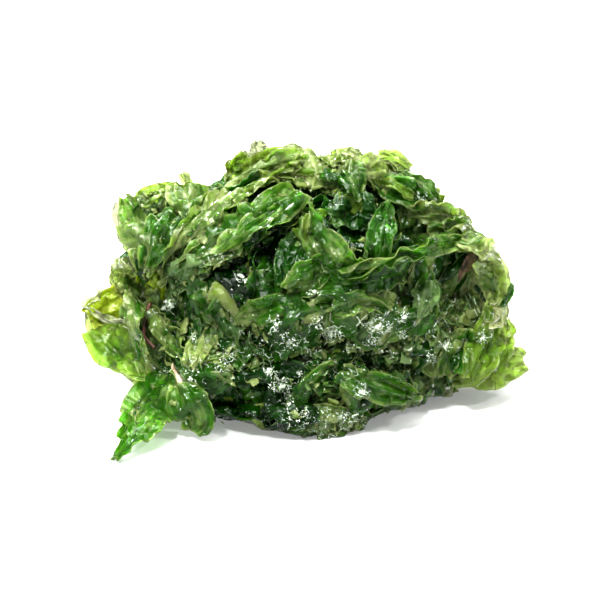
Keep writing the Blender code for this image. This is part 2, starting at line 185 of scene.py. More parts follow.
def grid_quads(rows: int, columns: int) -> np.ndarray:
    """The faces of a grid of points, as four point numbers each."""
    grid = np.arange(rows * columns).reshape(rows, columns)
    return np.stack([grid[:-1, :-1], grid[1:, :-1], grid[1:, 1:], grid[:-1, 1:]], axis=-1).reshape(-1, 4)


def linked(name: str, data: bpy.types.ID) -> bpy.types.Object:
    """A new object of the scene with some data.

    Args:
        name: its name.
        data: its data.

    Returns:
        The object.
    """
    obj = bpy.data.objects.new(name, data)
    bpy.context.scene.collection.objects.link(obj)
    return obj


def give(mesh: bpy.types.Mesh, key: str, values: np.ndarray) -> None:
    """Gives a mesh's points an attribute of one number, or of three where the values have columns."""
    kind, name = ("FLOAT_VECTOR", "vector") if values.ndim == 2 else ("FLOAT", "value")
    mesh.attributes.new(key, kind, "POINT").data.foreach_set(name, values.astype(np.float32).ravel())


def tie(obj: bpy.types.Object, finish: Finish, finishes: dict, node: str = "") -> None:
    """Ties a piece to its body, its finish and the solid that it replaces.

    Args:
        obj: the piece.
        finish: its finish.
        finishes: the materials by finish.
        node: the solid, or an empty name where it replaces none.
    """
    obj.data.materials.append(finishes[finish])
    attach(obj, BODY)
    if node:
        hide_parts(node)
    log.info("%s: %d faces", obj.name, len(obj.data.polygons))


class Solids:
    """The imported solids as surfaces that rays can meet, in the pile's frame."""

    def __init__(self, nodes: dict[str, bpy.types.Object], free: tuple) -> None:
        """Reads every node's mesh.

        Args:
            nodes: the CAD nodes by name.
            free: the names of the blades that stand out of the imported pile.
        """
        self.trees: dict[str, BVHTree] = {}
        points: list[np.ndarray] = []
        faces: list[np.ndarray] = []
        first = 0
        for name, node in nodes.items():
            mesh = node.data
            own = np.empty(len(mesh.vertices) * 3, np.float32)
            mesh.vertices.foreach_get("co", own)
            own = own.reshape(-1, 3).astype(float) / MM - PILE_ZERO
            corners = np.array([tuple(face.vertices) for face in mesh.polygons])
            self.trees[name] = BVHTree.FromPolygons(own.tolist(), corners.tolist())
            points.append(own)
            faces.append(corners + first)
            first += len(own)
        every = np.vstack(points).tolist()
        packed = np.vstack([part for name, part in zip(nodes, faces) if name not in free])
        self.whole = BVHTree.FromPolygons(every, np.vstack(faces).tolist())
        self.trees["packed"] = BVHTree.FromPolygons(every, packed.tolist())

    def reach(self, name: str, directions: np.ndarray) -> np.ndarray:
        """How far from the heart a node's outside is, with nan where a ray misses it.

        Args:
            name: the node, or "packed" for all but the free blades.
            directions: unit directions, in an array of any shape.

        Returns:
            The distances, in millimetres.
        """
        flat = directions.reshape(-1, 3)
        found = np.full(len(flat), np.nan)
        for i, ray in enumerate(flat):
            start = HEART + ray * FAR
            distance = self.trees[name].ray_cast(Vector(start), Vector(-ray), FAR)[3]
            if distance is not None:
                found[i] = FAR - distance
        return found.reshape(directions.shape[:-1])

    def before(self, eye: np.ndarray, rays: np.ndarray) -> np.ndarray:
        """How far from the eye the whole pile is along rays, with nan where a ray misses it.

        Args:
            eye: where the rays start.
            rays: unit directions, by row and column.

        Returns:
            The distances, in millimetres, by row and column.
        """
        start = Vector(eye)
        hits = [self.whole.ray_cast(start, Vector(ray))[3] for ray in rays.reshape(-1, 3)]
        return np.array([np.nan if hit is None else hit for hit in hits]).reshape(rays.shape[:-1])


class PileForm:
    """How far the pile reaches from its heart in every direction, without its free blades."""

    azimuths = 180
    elevations = 46
    lowest = math.radians(1.5)

    def __init__(self, solids: Solids) -> None:
        """Casts a ray in every direction of the map.

        Args:
            solids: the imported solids.
        """
        turns = np.linspace(0, 2 * math.pi, self.azimuths, endpoint=False)
        heights = np.linspace(self.lowest, math.pi / 2, self.elevations)
        turn, height = np.meshgrid(turns, heights, indexing="ij")
        flat = np.cos(height)
        rays = np.stack([np.sin(turn) * flat, -np.cos(turn) * flat, np.sin(height)], axis=-1)
        reach = filled(solids.reach("packed", rays))
        for _ in range(2):
            wide = np.pad(reach, ((1, 1), (0, 0)), mode="wrap")
            reach = (reach + near_mean(np.pad(wide, ((0, 0), (1, 1)), mode="edge"))) / 2
        self.map = reach

    def reach(self, directions: np.ndarray) -> np.ndarray:
        """The pile's reach along unit directions, in millimetres.

        Args:
            directions: unit directions, in an array of any shape.

        Returns:
            The distances from the heart.
        """
        turn = np.arctan2(directions[..., 0], -directions[..., 1]) % (2 * math.pi)
        height = np.arcsin(np.clip(directions[..., 2], -1, 1))
        across = turn / (2 * math.pi) * self.azimuths
        upward = (height - self.lowest) / (math.pi / 2 - self.lowest) * (self.elevations - 1)
        upward = np.clip(upward, 0, self.elevations - 1.001)
        i, j = np.floor(across).astype(int), np.floor(upward).astype(int)
        s, t = across - i, upward - j
        i, k = i % self.azimuths, (i + 1) % self.azimuths
        low = self.map[i, j] * (1 - s) + self.map[k, j] * s
        high = self.map[i, j + 1] * (1 - s) + self.map[k, j + 1] * s
        return low * (1 - t) + high * t

    def held(self, points: np.ndarray, margin: float) -> np.ndarray:
        """Points drawn in where they stand out of the form by more than a margin.

        Args:
            points: places in the pile's frame.
            margin: how far out they may stand, in millimetres.

        Returns:
            The points.
        """
        away = points - HEART
        far = np.linalg.norm(away, axis=-1)
        limit = self.reach(away / far[..., None]) + margin
        kept = np.where(far > limit, limit + 0.15 * (far - limit), far)
        return HEART + away * (kept / far)[..., None]


@dataclass(frozen=True)
class View:
    """The camera: what it looks at, how far off and how high it stands, and its lens."""

    target: tuple = (-0.6, 0.0, 29.3)
    distance: float = 580.0
    elevation: float = 20.0
    lens: float = 120.0
    sensor: float = 36.0
    image: float = 600.0

    def back(self) -> np.ndarray:
        """The direction from the target to the camera."""
        e = math.radians(self.elevation)
        return np.array((0.0, -math.cos(e), math.sin(e)))

    def eye(self) -> np.ndarray:
        """Where the camera stands."""
        return np.array(self.target) + self.back() * self.distance

    def rays(self, pixels: np.ndarray) -> np.ndarray:
        """The directions in which the camera sees some places of the image.

        Args:
            pixels: places in the image, from its top left corner.

        Returns:
            Unit directions from the camera.
        """
        right, upward = self.sides()
        scale = self.sensor / self.lens / self.image
        x = (pixels[..., 0] - self.image / 2) * scale
        y = (self.image / 2 - pixels[..., 1]) * scale
        return unit(x[..., None] * right + y[..., None] * upward - self.back())

    def sides(self) -> Pair:
        """The directions to the right and upwards in the image."""
        right = np.array((1.0, 0.0, 0.0))
        return right, np.cross(right, -self.back())

    def pixels(self, points: np.ndarray) -> np.ndarray:
        """Where points show in the image, from its top left corner.

        Args:
            points: places in the pile's frame.

        Returns:
            Their pixels.
        """
        right, upward = self.sides()
        away = points - self.eye()
        scale = self.lens / self.sensor * self.image / (away @ -self.back())
        x, y = self.image / 2 + away @ right * scale, self.image / 2 - away @ upward * scale
        return np.stack([x, y], axis=-1)

    def build(self) -> None:
        """Makes the camera and sets it as the scene's."""
        data = bpy.data.cameras.new("camera")
        data.lens, data.sensor_width = self.lens, self.sensor
        data.clip_start, data.clip_end = 0.01, 10.0
        camera = linked("camera", data)
        camera.location = Vector(to_row(self.eye()))
        camera.rotation_mode = "QUATERNION"
        camera.rotation_quaternion = Vector(-self.back()).to_track_quat("-Z", "Y")
        bpy.context.scene.camera = camera


VIEW = View()


@dataclass(frozen=True)
class Hollows:
    """The dark gaps of the front: ovals of the image where the blades lie deeper.

    Each is the oval's middle and half its width and height in pixels, and its depth in millimetres.
    foot is the lower outline of the front, in pixels, and lift how far back one pixel is on the floor.
    """

    ovals: tuple = (
        (272, 250, 30, 16, 6.0), (233, 272, 26, 9, 4.5), (403, 228, 16, 17, 6.5), (292, 285, 16, 10, 3.5),
        (372, 372, 52, 7, 6.5), (226, 402, 46, 9, 7.0), (238, 334, 22, 12, 4.5), (295, 398, 16, 8, 4.0),
        (388, 292, 24, 9, 3.5), (453, 292, 16, 12, 3.5), (318, 200, 20, 8, 3.0), (150, 352, 8, 10, 3.0),
    )
    foot: tuple = (
        (100, 356), (125, 374), (150, 382), (172, 388), (200, 400), (222, 413), (250, 414), (275, 425),
        (300, 434), (330, 437), (354, 434), (366, 428), (376, 405), (400, 402), (418, 398), (432, 388),
        (455, 391), (470, 389), (500, 378), (515, 366),
    )
    lift: float = 0.85

    def sink(self, points: np.ndarray) -> np.ndarray:
        """Moves points of the front away from the camera where a hollow is, and back to the foot line.

        Args:
            points: places in the pile's frame, in an array of any shape.

        Returns:
            The moved points.
        """
        seen = VIEW.pixels(points)
        move = np.zeros(points.shape[:-1])
        for *oval, depth in self.ovals:
            move = np.maximum(move, depth * within(seen, *oval))
        move *= points[..., 1] < HEART[1] + 4
        sunk = points - VIEW.back() * move[..., None]
        seen = VIEW.pixels(sunk)
        x, y = np.array(self.foot, float).T
        over = np.maximum(seen[..., 1] - np.interp(seen[..., 0], x, y), 0)
        sunk[..., 1] += self.lift * over * (points[..., 1] < HEART[1])
        sunk[..., 2] = np.maximum(sunk[..., 2], np.minimum(points[..., 2], 1.0))
        return sunk


@dataclass(frozen=True)
class PaintedLightShadeAndTone:
    """Where the front's blades are coloured lighter or darker, as ovals of the image.

    The ovals are painted light and shade: lighter where the crown and the outer lobes catch the lamps and
    the light from behind, and darker over the hollows. In part they are also the blades' own tone, which
    differs from place to place. Each is the oval's middle and half its width and height in pixels, and
    what it adds to a tone.
    """

    ovals: tuple = (
        (330, 158, 110, 17, 0.5), (170, 205, 60, 26, 0.2), (112, 320, 36, 50, 0.3),
        (488, 280, 30, 40, 0.35), (488, 345, 45, 40, 0.35), (370, 218, 60, 28, -0.25),
        (335, 355, 40, 12, -0.25), (440, 230, 40, 24, 0.12), (260, 255, 50, 26, -0.45),
        (400, 230, 26, 22, -0.25), (425, 402, 70, 18, 0.35), (415, 322, 80, 22, 0.25),
        (215, 165, 36, 20, 0.2), (110, 355, 40, 30, 0.2), (335, 378, 40, 16, -0.05),
        (328, 424, 44, 14, 0.18), (262, 362, 50, 24, 0.12), (325, 225, 34, 40, -0.3),
        (272, 332, 28, 20, -0.05), (160, 292, 30, 24, 0.3), (162, 350, 24, 40, 0.3),
        (230, 400, 60, 16, -0.25), (370, 376, 60, 16, -0.25), (250, 340, 40, 26, -0.12),
        (140, 420, 34, 30, 0.10),
    )

    def shifted(self, tone: float, points: np.ndarray) -> float:
        """The tone of a sheet that lies at some points, with the painted light and shade of the ovals.

        Args:
            tone: the sheet's own tone.
            points: where it lies.

        Returns:
            The tone with the ovals' changes.
        """
        middle = points.reshape(-1, 3).mean(axis=0)
        if middle[1] > HEART[1] + 12:
            return tone
        seen = VIEW.pixels(middle)
        for *oval, change in self.ovals:
            tone += change * float(within(seen, *oval))
        return tone


# The front's painted light and shade, and in part its own tone, as changes to a sheet's tone by place.
PAINTED_LIGHT_SHADE_AND_TONE = PaintedLightShadeAndTone()


@dataclass
class SheetBatch:
    """Sheets of one grid size that are crumpled side by side.

    home is where each corner would lie if its sheet fitted its place: sheet, row, column, x y z.
    facing is the side that the sheet faces there. slack is how much too large each sheet is along,
    across and along its edges. depth is how far it may fold inwards and outwards, drift how far a
    corner may slide sideways, and pleats how much its folds run along it, from 0 to 1.
    """

    home: np.ndarray
    facing: np.ndarray
    slack: np.ndarray
    depth: np.ndarray
    pleats: np.ndarray
    drift: float
    seed: int
    place: np.ndarray = field(init=False)

    def __post_init__(self) -> None:
        """Starts every sheet at home."""
        for key in ("home", "facing", "slack", "depth", "pleats"):
            setattr(self, key, np.asarray(getattr(self, key), np.float32))
        self.place = self.home.copy()
        self.random = np.random.default_rng(self.seed)

    def ripple(self, height: float) -> None:
        """Moves each corner a little outwards or inwards at random, in pleats that run along.

        Args:
            height: the usual size of the moves.
        """
        size = self.random.normal(0.0, height, self.place.shape[:3]).astype(np.float32)
        runs = size
        for reach in (1, 2, 4):
            runs = (np.roll(runs, reach, axis=1) + np.roll(runs, -reach, axis=1) + runs) / 1.73
        size += self.pleats[:, None, None] * (runs - size)
        self.place += self.facing * size[..., None]

    def lengths(self) -> tuple[list[np.ndarray], list[np.ndarray]]:
        """The lengths of the cells' sides at home, and how much slack adds to them.

        Returns:
            Lengths and additions, each for sides along and sides across.
        """
        home, columns = self.home, self.home.shape[2]
        v = np.linspace(-1, 1, columns, dtype=np.float32) ** 2
        length = np.linalg.norm(home[:, 1:] - home[:, :-1], axis=-1)
        width = np.linalg.norm(home[:, :, 1:] - home[:, :, :-1], axis=-1)
        gain = self.slack[:, :, None, None]
        more_length = length * (gain[:, 0] - 1 + gain[:, 2] * v)
        more_width = width * (gain[:, 1] - 1)
        return [length, width], [more_length, more_width]

    def pull(self, first: tuple, second: tuple, rest: np.ndarray, stiffness: float) -> None:
        """Moves pairs of corners towards their rest distance.

        Args:
            first: index of the pairs' first corners.
            second: index of their second corners.
            rest: the distance that each pair should have.
            stiffness: the share of the error that is taken away.
        """
        a, b = self.place[first], self.place[second]
        gap = b - a
        length = np.sqrt(np.einsum("...i,...i->...", gap, gap)) + 1e-6
        gap *= (0.5 * stiffness * (1 - rest / length))[..., None]
        a += gap
        b -= gap

    def relax(self, steps: int, start: float, end: float, bend: float) -> None:
        """Lets the sheets grow to their real size, fold, and stay in their place.

        Args:
            steps: how many rounds to do.
            start: the share of the slack that is there at first.
            end: the share that is there at last.
            bend: how strongly the sheets resist a fold.
        """
        (length, width), (more_length, more_width) = self.lengths()
        _, rows, columns, _ = self.place.shape
        every = slice(None)
        v = np.linspace(-1, 1, columns, dtype=np.float32) ** 2
        low = self.depth[:, 0, None, None] * np.ones_like(v)
        high = self.depth[:, 1, None, None] * (1 + 0.4 * v)
        for step in range(steps):
            share = np.float32(start + (end - start) * min(1.0, step / (0.75 * steps)))
            run, span = length + more_length * share, width + more_width * share
            for odd in (0, 1):
                near, far = slice(odd, rows - 1, 2), slice(odd + 1, rows, 2)
                self.pull((every, near), (every, far), run[:, near], 1.0)
                near, far = slice(odd, columns - 1, 2), slice(odd + 1, columns, 2)
                self.pull((every, every, near), (every, every, far), span[:, :, near], 1.0)
            slant = np.sqrt(run[:, :, 1:] ** 2 + span[:, 1:] ** 2)
            for odd in (0, 1):
                near, far = slice(odd, rows - 1, 2), slice(odd + 1, rows, 2)
                for left, right in ((slice(0, -1), slice(1, None)), (slice(1, None), slice(0, -1))):
                    self.pull((every, near, left), (every, far, right), slant[:, near], 0.35)
            if rows > 2 and columns > 2:
                less, more = slice(0, -2), slice(2, None)
                self.pull((every, less), (every, more), run[:, 1:] + run[:, :-1], bend)
                self.pull((every, every, less), (every, every, more), span[:, :, 1:] + span[:, :, :-1], bend)
            offset = self.place - self.home
            height = np.einsum("...i,...i->...", offset, self.facing)
            side = offset - self.facing * height[..., None]
            slide = np.sqrt(np.einsum("...i,...i->...", side, side)) + 1e-6
            side *= np.minimum(1, np.float32(self.drift) / slide)[..., None]
            height = np.clip(height, low, high)
            self.place = (self.home + side + self.facing * height[..., None]).astype(np.float32)

    def refine(self, softness: float) -> None:
        """Doubles the grid.

        Args:
            softness: 0 keeps every crease sharp and 1 rounds it.
        """
        self.place = doubled(self.place, softness)
        self.home = doubled(self.home, 1.0)
        self.facing = unit(doubled(self.facing, 0.0)).astype(np.float32)


def ragged(rows: int, columns: int, random: Random, amount: float) -> Pair:
    """Places along and across a sheet whose sides and ends are torn unevenly.

    Args:
        rows: corners along.
        columns: corners across.
        random: the source of chance.
        amount: how uneven the outline is, as a share of the sheet.

    Returns:
        Grids that run from 0 to 1 along and from about -1 to 1 across.
    """
    u, v = np.meshgrid(np.linspace(0, 1, rows), np.linspace(-1, 1, columns), indexing="ij")
    ends = np.abs(random.normal(0, amount * 0.35, (2, columns)))
    lean = random.normal(0, amount * 0.3, 2)[:, None] * v[0]
    first, last = ends + lean
    sides = random.normal(0, amount, (2, rows + 2))
    sides = 1 + (sides[:, :-2] + sides[:, 1:-1] + sides[:, 2:]) / 2
    v = v * np.where(v > 0, sides[1][:, None], sides[0][:, None])
    return first + (1 - last - first) * u, v


def doubled(grid: np.ndarray, softness: float) -> np.ndarray:
    """A grid with a new point between every two, along its rows and its columns.

    Args:
        grid: sheet, row, column, value.
        softness: how far the new points follow a smooth curve instead of a straight line.

    Returns:
        The finer grid.
    """
    for axis in (1, 2):
        grid = np.moveaxis(grid, axis, 0)
        before = 2 * grid[:1] - grid[1:2]
        after = 2 * grid[-1:] - grid[-2:-1]
        padded = np.concatenate([before, grid, after])
        straight = (grid[:-1] + grid[1:]) / 2
        outer = (padded[:-3] + padded[3:]) / 2
        finer = np.empty((2 * len(grid) - 1, *grid.shape[1:]), grid.dtype)
        finer[::2] = grid
        finer[1::2] = straight + (straight - outer) * 0.125 * softness
        grid = np.moveaxis(finer, 0, axis)
    return np.ascontiguousarray(grid)


@dataclass
class Sheet:
    """One finished sheet: its grid of points, its tone and its thickness."""

    points: np.ndarray
    tone: float
    thickness: float = 0.2

    def frayed(self, random: Random, depth: float) -> None:
        """Draws the outline in by small uneven amounts, so that the edge looks torn.

        Args:
            random: the source of chance.
            depth: how far, as a share of the outermost cells.
        """
        for rows_first in (True, False):
            grid = self.points if rows_first else self.points.swapaxes(0, 1)
            for edge, inner in ((0, 1), (-1, -2)):
                bites = np.abs(np.convolve(random.normal(0, 1, grid.shape[1] + 2), (0.3, 0.4, 0.3), "valid"))
                shift = (grid[inner] - grid[edge]) * np.clip(bites * depth, 0, 0.8)[:, None]
                grid[edge] += shift

    def side(self) -> np.ndarray:
        """The side that the sheet faces at each point."""
        return unit(np.cross(np.gradient(self.points, axis=0), np.gradient(self.points, axis=1)))

    def edge(self) -> np.ndarray:
        """How near each point is to the outline, 1 on it and 0 well inside: where the painted highlight along
        the rims goes.

        Returns:
            A value by row and column.
        """
        rows, columns = self.points.shape[:2]
        run = np.linalg.norm(self.points[-1, columns // 2] - self.points[0, columns // 2]) / rows
        span = np.linalg.norm(np.diff(self.points[rows // 2], axis=0), axis=-1).mean()
        i = np.minimum(np.arange(rows), np.arange(rows)[::-1])[:, None] * max(run, span * 0.7)
        j = np.minimum(np.arange(columns), np.arange(columns)[::-1])[None] * span
        return np.exp(-((np.minimum(i, j) / 0.55) ** 2))

    def weave(self) -> np.ndarray:
        """How far along and across the sheet each point is, in millimetres, with the tone as seed.

        Returns:
            Three values by row and column.
        """
        run = np.linalg.norm(np.diff(self.points, axis=0), axis=-1).mean(axis=1)
        span = np.linalg.norm(np.diff(self.points, axis=1), axis=-1).mean(axis=0)
        u, v = np.concatenate([[0.0], np.cumsum(run)]), np.concatenate([[0.0], np.cumsum(span)])
        u, v = np.meshgrid(u, v, indexing="ij")
        return np.stack([u, v, np.full_like(u, 997.0 * self.tone)], axis=-1)


class SheetMesh:
    """Gathers sheets as thin closed shells and makes one mesh of them."""

    def __init__(self) -> None:
        """Starts empty."""
        self.points: list[np.ndarray] = []
        self.quads: list[np.ndarray] = []
        self.looks: dict[str, list[np.ndarray]] = {"tone": [], "edge": [], "weave": []}
        self.count = 0

    def add(self, sheet: Sheet) -> None:
        """Takes in a sheet, with both its sides and its rim.

        Args:
            sheet: the sheet, in the pile's frame.
        """
        rows, columns = sheet.points.shape[:2]
        half = sheet.side() * sheet.thickness / 2
        upper, lower = sheet.points + half, sheet.points - half
        grid, top = np.arange(rows * columns).reshape(rows, columns), grid_quads(rows, columns)
        ring = np.concatenate([grid[:-1, 0], grid[-1, :-1], grid[:0:-1, -1], grid[0, :0:-1]])
        following = np.roll(ring, -1)
        below = rows * columns
        rim = np.stack([following, ring, ring + below, following + below], axis=-1)
        self.quads.append(np.concatenate([top, top[:, ::-1] + below, rim]) + self.count)
        both = np.concatenate([upper.reshape(-1, 3), lower.reshape(-1, 3)])
        both[:, 2] = np.maximum(both[:, 2], FLOOR_GAP)
        self.points.append(both)
        edge, weave = sheet.edge().ravel(), sheet.weave().reshape(-1, 3)
        for key, values in (("tone", np.full(below, sheet.tone)), ("edge", edge), ("weave", weave)):
            self.looks[key].append(np.concatenate([values, values]))
        self.count += 2 * below

    def build(self, name: str) -> bpy.types.Object:
        """Makes the object.

        Args:
            name: the object's name.

        Returns:
            The object, linked to the scene.
        """
        points, quads = to_row(np.concatenate(self.points)), np.concatenate(self.quads)
        mesh = bpy.data.meshes.new(name)
        mesh.vertices.add(len(points))
        mesh.vertices.foreach_set("co", points.astype(np.float32).ravel())
        mesh.loops.add(quads.size)
        mesh.loops.foreach_set("vertex_index", quads.astype(np.int32).ravel())
        mesh.polygons.add(len(quads))
        mesh.polygons.foreach_set("loop_start", np.arange(0, quads.size, 4, dtype=np.int32))
        for key, values in self.looks.items():
            give(mesh, key, np.concatenate(values))
        mesh.update(calc_edges=True)
        mesh.shade_smooth()
        return linked(name, mesh)


class Nodes:
    """A short way to add and join the nodes of a tree."""

    def __init__(self, tree: bpy.types.NodeTree) -> None:
        """Works on one tree."""
        self.tree = tree

    @classmethod
    def of_material(cls, name: str) -> tuple[bpy.types.Material, "Nodes"]:
        """A new material without nodes, and its tree.

        Args:
            name: its name.

        Returns:
            The material and the tree.
        """
        material = bpy.data.materials.new(name)
        material.use_nodes = True
        material.node_tree.nodes.clear()
        return material, cls(material.node_tree)

    def add(self, kind: str, values: dict | None = None, **settings: object) -> bpy.types.Node:
        """Adds a node.

        Args:
            kind: the node's type.
            values: input values by name or number. A socket as value is linked.
            settings: the node's own settings.

        Returns:
            The node.
        """
        node = self.tree.nodes.new(kind)
        for key, value in settings.items():
            setattr(node, key, value)
        for key, value in (values or {}).items():
            if isinstance(value, Socket):
                self.tree.links.new(value, node.inputs[key])
            else:
                node.inputs[key].default_value = value
        return node

    def math(self, operation: str, a: object, b: object = 0.0, clamp: bool = False) -> Socket:
        """The result of a Math node on two values."""
        return self.add("ShaderNodeMath", {0: a, 1: b}, operation=operation, use_clamp=clamp).outputs[0]

    def vector(self, operation: str, a: object, b: object) -> Socket:
        """The result of a Vector Math node on two vectors."""
        node = self.add("ShaderNodeVectorMath", {0: a, 1: b}, operation=operation)
        return node.outputs["Value" if operation == "DOT_PRODUCT" else "Vector"]

    def total(self, *terms: tuple) -> Socket:
        """The sum of some values, each with the factor that it is multiplied by.

        Args:
            terms: a value and its factor each.

        Returns:
            The sum.
        """
        result = None
        for value, factor in terms:
            part = value if factor == 1 else self.math("MULTIPLY", value, factor)
            result = part if result is None else self.math("ADD", result, part)
        return result

    def centred(self, value: Socket) -> Socket:
        """A value from 0 to 1, moved so that its middle is 0."""
        return self.math("SUBTRACT", value, 0.5)

    def noise(self, place: object, scale: float, detail: float, kind: str = "FBM", **more: float) -> Socket:
        """The value of a Noise Texture node, with more of its inputs by name."""
        values = {"Vector": place, "Scale": scale, "Detail": detail, **more}
        return self.add("ShaderNodeTexNoise", values, noise_type=kind).outputs["Fac"]

    def scaled(self, place: object, *scale: float) -> Socket:
        """A place with another scale along each axis."""
        return self.add("ShaderNodeMapping", {"Vector": place, "Scale": scale}).outputs[0]

    def blend(self, share: object, a: bpy.types.Node, b: bpy.types.Node) -> bpy.types.Node:
        """A Mix Shader node of two shaders."""
        return self.add("ShaderNodeMixShader", {0: share, 1: a.outputs[0], 2: b.outputs[0]})

    def mix(self, share: object, a: object, b: object) -> Socket:
        """The mix of two colours, which are the Mix node's sockets 6 and 7."""
        return self.add("ShaderNodeMix", {0: share, 6: a, 7: b}, data_type="RGBA").outputs[2]


def socket_in(group: bpy.types.NodeTree, name: str, kind: str, value: object = None) -> None:
    """Adds a named input to a node group.

    Args:
        group: the group.
        name: the input's name.
        kind: its socket type.
        value: its default, or None where it has none.
    """
    socket = group.interface.new_socket(name, in_out="INPUT", socket_type=kind)
    if value is not None:
        socket.default_value = value


LAYERS = ("", " through")
# Light is the pale end of a blade's colour; the reflected Light colour is whitened as a painted sheen.
DEPTHS = ("Deep", "Leaf", "Light")


def frond_group() -> bpy.types.NodeTree:
    """The node group that colours every blade: patches, mottling, a painted highlight along the rims and fine
    wrinkles.

    Returns:
        The group, with Reflected, Through, Roughness and Height as outputs.
    """
    group = bpy.data.node_groups.new("frond_surface", "ShaderNodeTree")
    for layer in LAYERS:
        for depth in DEPTHS:
            socket_in(group, depth + layer, "NodeSocketColor")
    socket_in(group, "Patchiness", "NodeSocketFloat", 0.5)
    outputs = (("Reflected", "Color"), ("Through", "Color"), ("Roughness", "Float"), ("Height", "Float"))
    for name, kind in outputs:
        group.interface.new_socket(name, in_out="OUTPUT", socket_type="NodeSocket" + kind)
    n = Nodes(group)
    given = n.add("NodeGroupInput").outputs
    place = n.add("ShaderNodeTexCoord").outputs["Object"]
    tone = n.add("ShaderNodeAttribute", attribute_name="tone").outputs["Fac"]
    edge = n.add("ShaderNodeAttribute", attribute_name="edge").outputs["Fac"]
    weave = n.add("ShaderNodeAttribute", attribute_name="weave").outputs["Vector"]
    patches, mottle = n.noise(place, 75.0, 2.0), n.noise(place, 420.0, 3.0)
    grain = n.noise(place, 1500.0, 3.0)
    wrinkles = n.noise(place, 520.0, 3.0, "RIDGED_MULTIFRACTAL", Distortion=0.6)
    streaks = n.noise(n.scaled(weave, 0.11, 0.9, 1.0), 1.0, 4.0, Roughness=0.6)
    cells = {"Vector": n.scaled(weave, 0.22, 0.36, 1.0), "Scale": 1.0, "Detail": 1.5}
    creases = n.add("ShaderNodeTexVoronoi", cells).outputs["Distance"]
    uneven = n.vector("MULTIPLY", mottle, (0.6, 0.6, 0.0))
    spot = n.vector("ADD", n.scaled(weave, 0.42, 0.55, 1.0), uneven)
    facets = n.add("ShaderNodeTexVoronoi", {"Vector": spot, "Scale": 1.0})
    lean = n.vector("SUBTRACT", facets.outputs["Color"], (0.5, 0.5, 0.5))
    tilt = n.vector("DOT_PRODUCT", lean, n.vector("SUBTRACT", spot, facets.outputs["Position"]))
    spread = n.math("MULTIPLY", n.centred(patches), given["Patchiness"])
    mottled, streaked = n.centred(mottle), n.centred(streaks)
    # The edge term lightens the rims: a painted highlight where the rims catch the light.
    level = n.total((tone, 1), (spread, 2.0), (mottled, 0.35), (streaked, 1), (edge, 0.34))
    lower = n.math("MULTIPLY", level, 2.0, clamp=True)
    upper = n.math("SUBTRACT", n.math("MULTIPLY", level, 2.0), 1.0, clamp=True)
    colours = [
        n.mix(upper, n.mix(lower, given["Deep" + layer], given["Leaf" + layer]), given["Light" + layer])
        for layer in LAYERS
    ]
    roughness = n.math("ADD", n.math("MULTIPLY", mottle, 0.16), 0.06)
    height = n.total((wrinkles, 0.4), (grain, 0.15), (streaks, 0.5), (creases, 0.9), (tilt, 8.0))
    n.add("NodeGroupOutput", {0: colours[0], 1: colours[1], 2: roughness, 3: height})
    return group


@dataclass(frozen=True)
class FrondFinish:
    """One finish of wet blade: the colours it reflects and lets through, from deep to light, the lightest
    reflected one whitened as a painted milky sheen.
    """

    reflected: tuple
    through: tuple
    share_through: float
    clear: tuple
    share_clear: float
    patchiness: float = 0.5
    wetness: float = 1.38

    def build(self, name: str, group: bpy.types.NodeTree) -> bpy.types.Material:
        """Makes the material.

        Args:
            name: its name.
            group: the node group that all the blades share.

        Returns:
            The material.
        """
        material, n = Nodes.of_material(name)
        surface = n.add("ShaderNodeGroup", node_tree=group)
        for layer, colours in zip(LAYERS, (self.reflected, self.through)):
            for depth, colour in zip(DEPTHS, colours):
                surface.inputs[depth + layer].default_value = (*colour, 1.0)
        surface.inputs["Patchiness"].default_value = self.patchiness
        reflected, through, rough, height = surface.outputs
        bump = n.add("ShaderNodeBump", {"Height": height, "Strength": 0.8, "Distance": 0.0004})
        wet = {"Roughness": rough, "Normal": bump.outputs[0]}
        body = n.add("ShaderNodeBsdfPrincipled", {"Base Color": reflected, "Specular IOR Level": 0.0, **wet})
        glow = n.add("ShaderNodeBsdfTranslucent", {"Color": through, "Normal": bump.outputs[0]})
        window = n.add("ShaderNodeBsdfTransparent", {"Color": (*self.clear, 1.0)})
        film = n.blend(self.share_clear, n.blend(self.share_through, body, glow), window)
        gleam = n.add("ShaderNodeFresnel", {"IOR": self.wetness, "Normal": bump.outputs[0]})
        mixed = n.blend(gleam.outputs[0], film, n.add("ShaderNodeBsdfAnisotropic", wet))
        n.add("ShaderNodeOutputMaterial", {"Surface": mixed.outputs[0]})
        material.diffuse_color = (*self.reflected[1], 1.0)
        return material


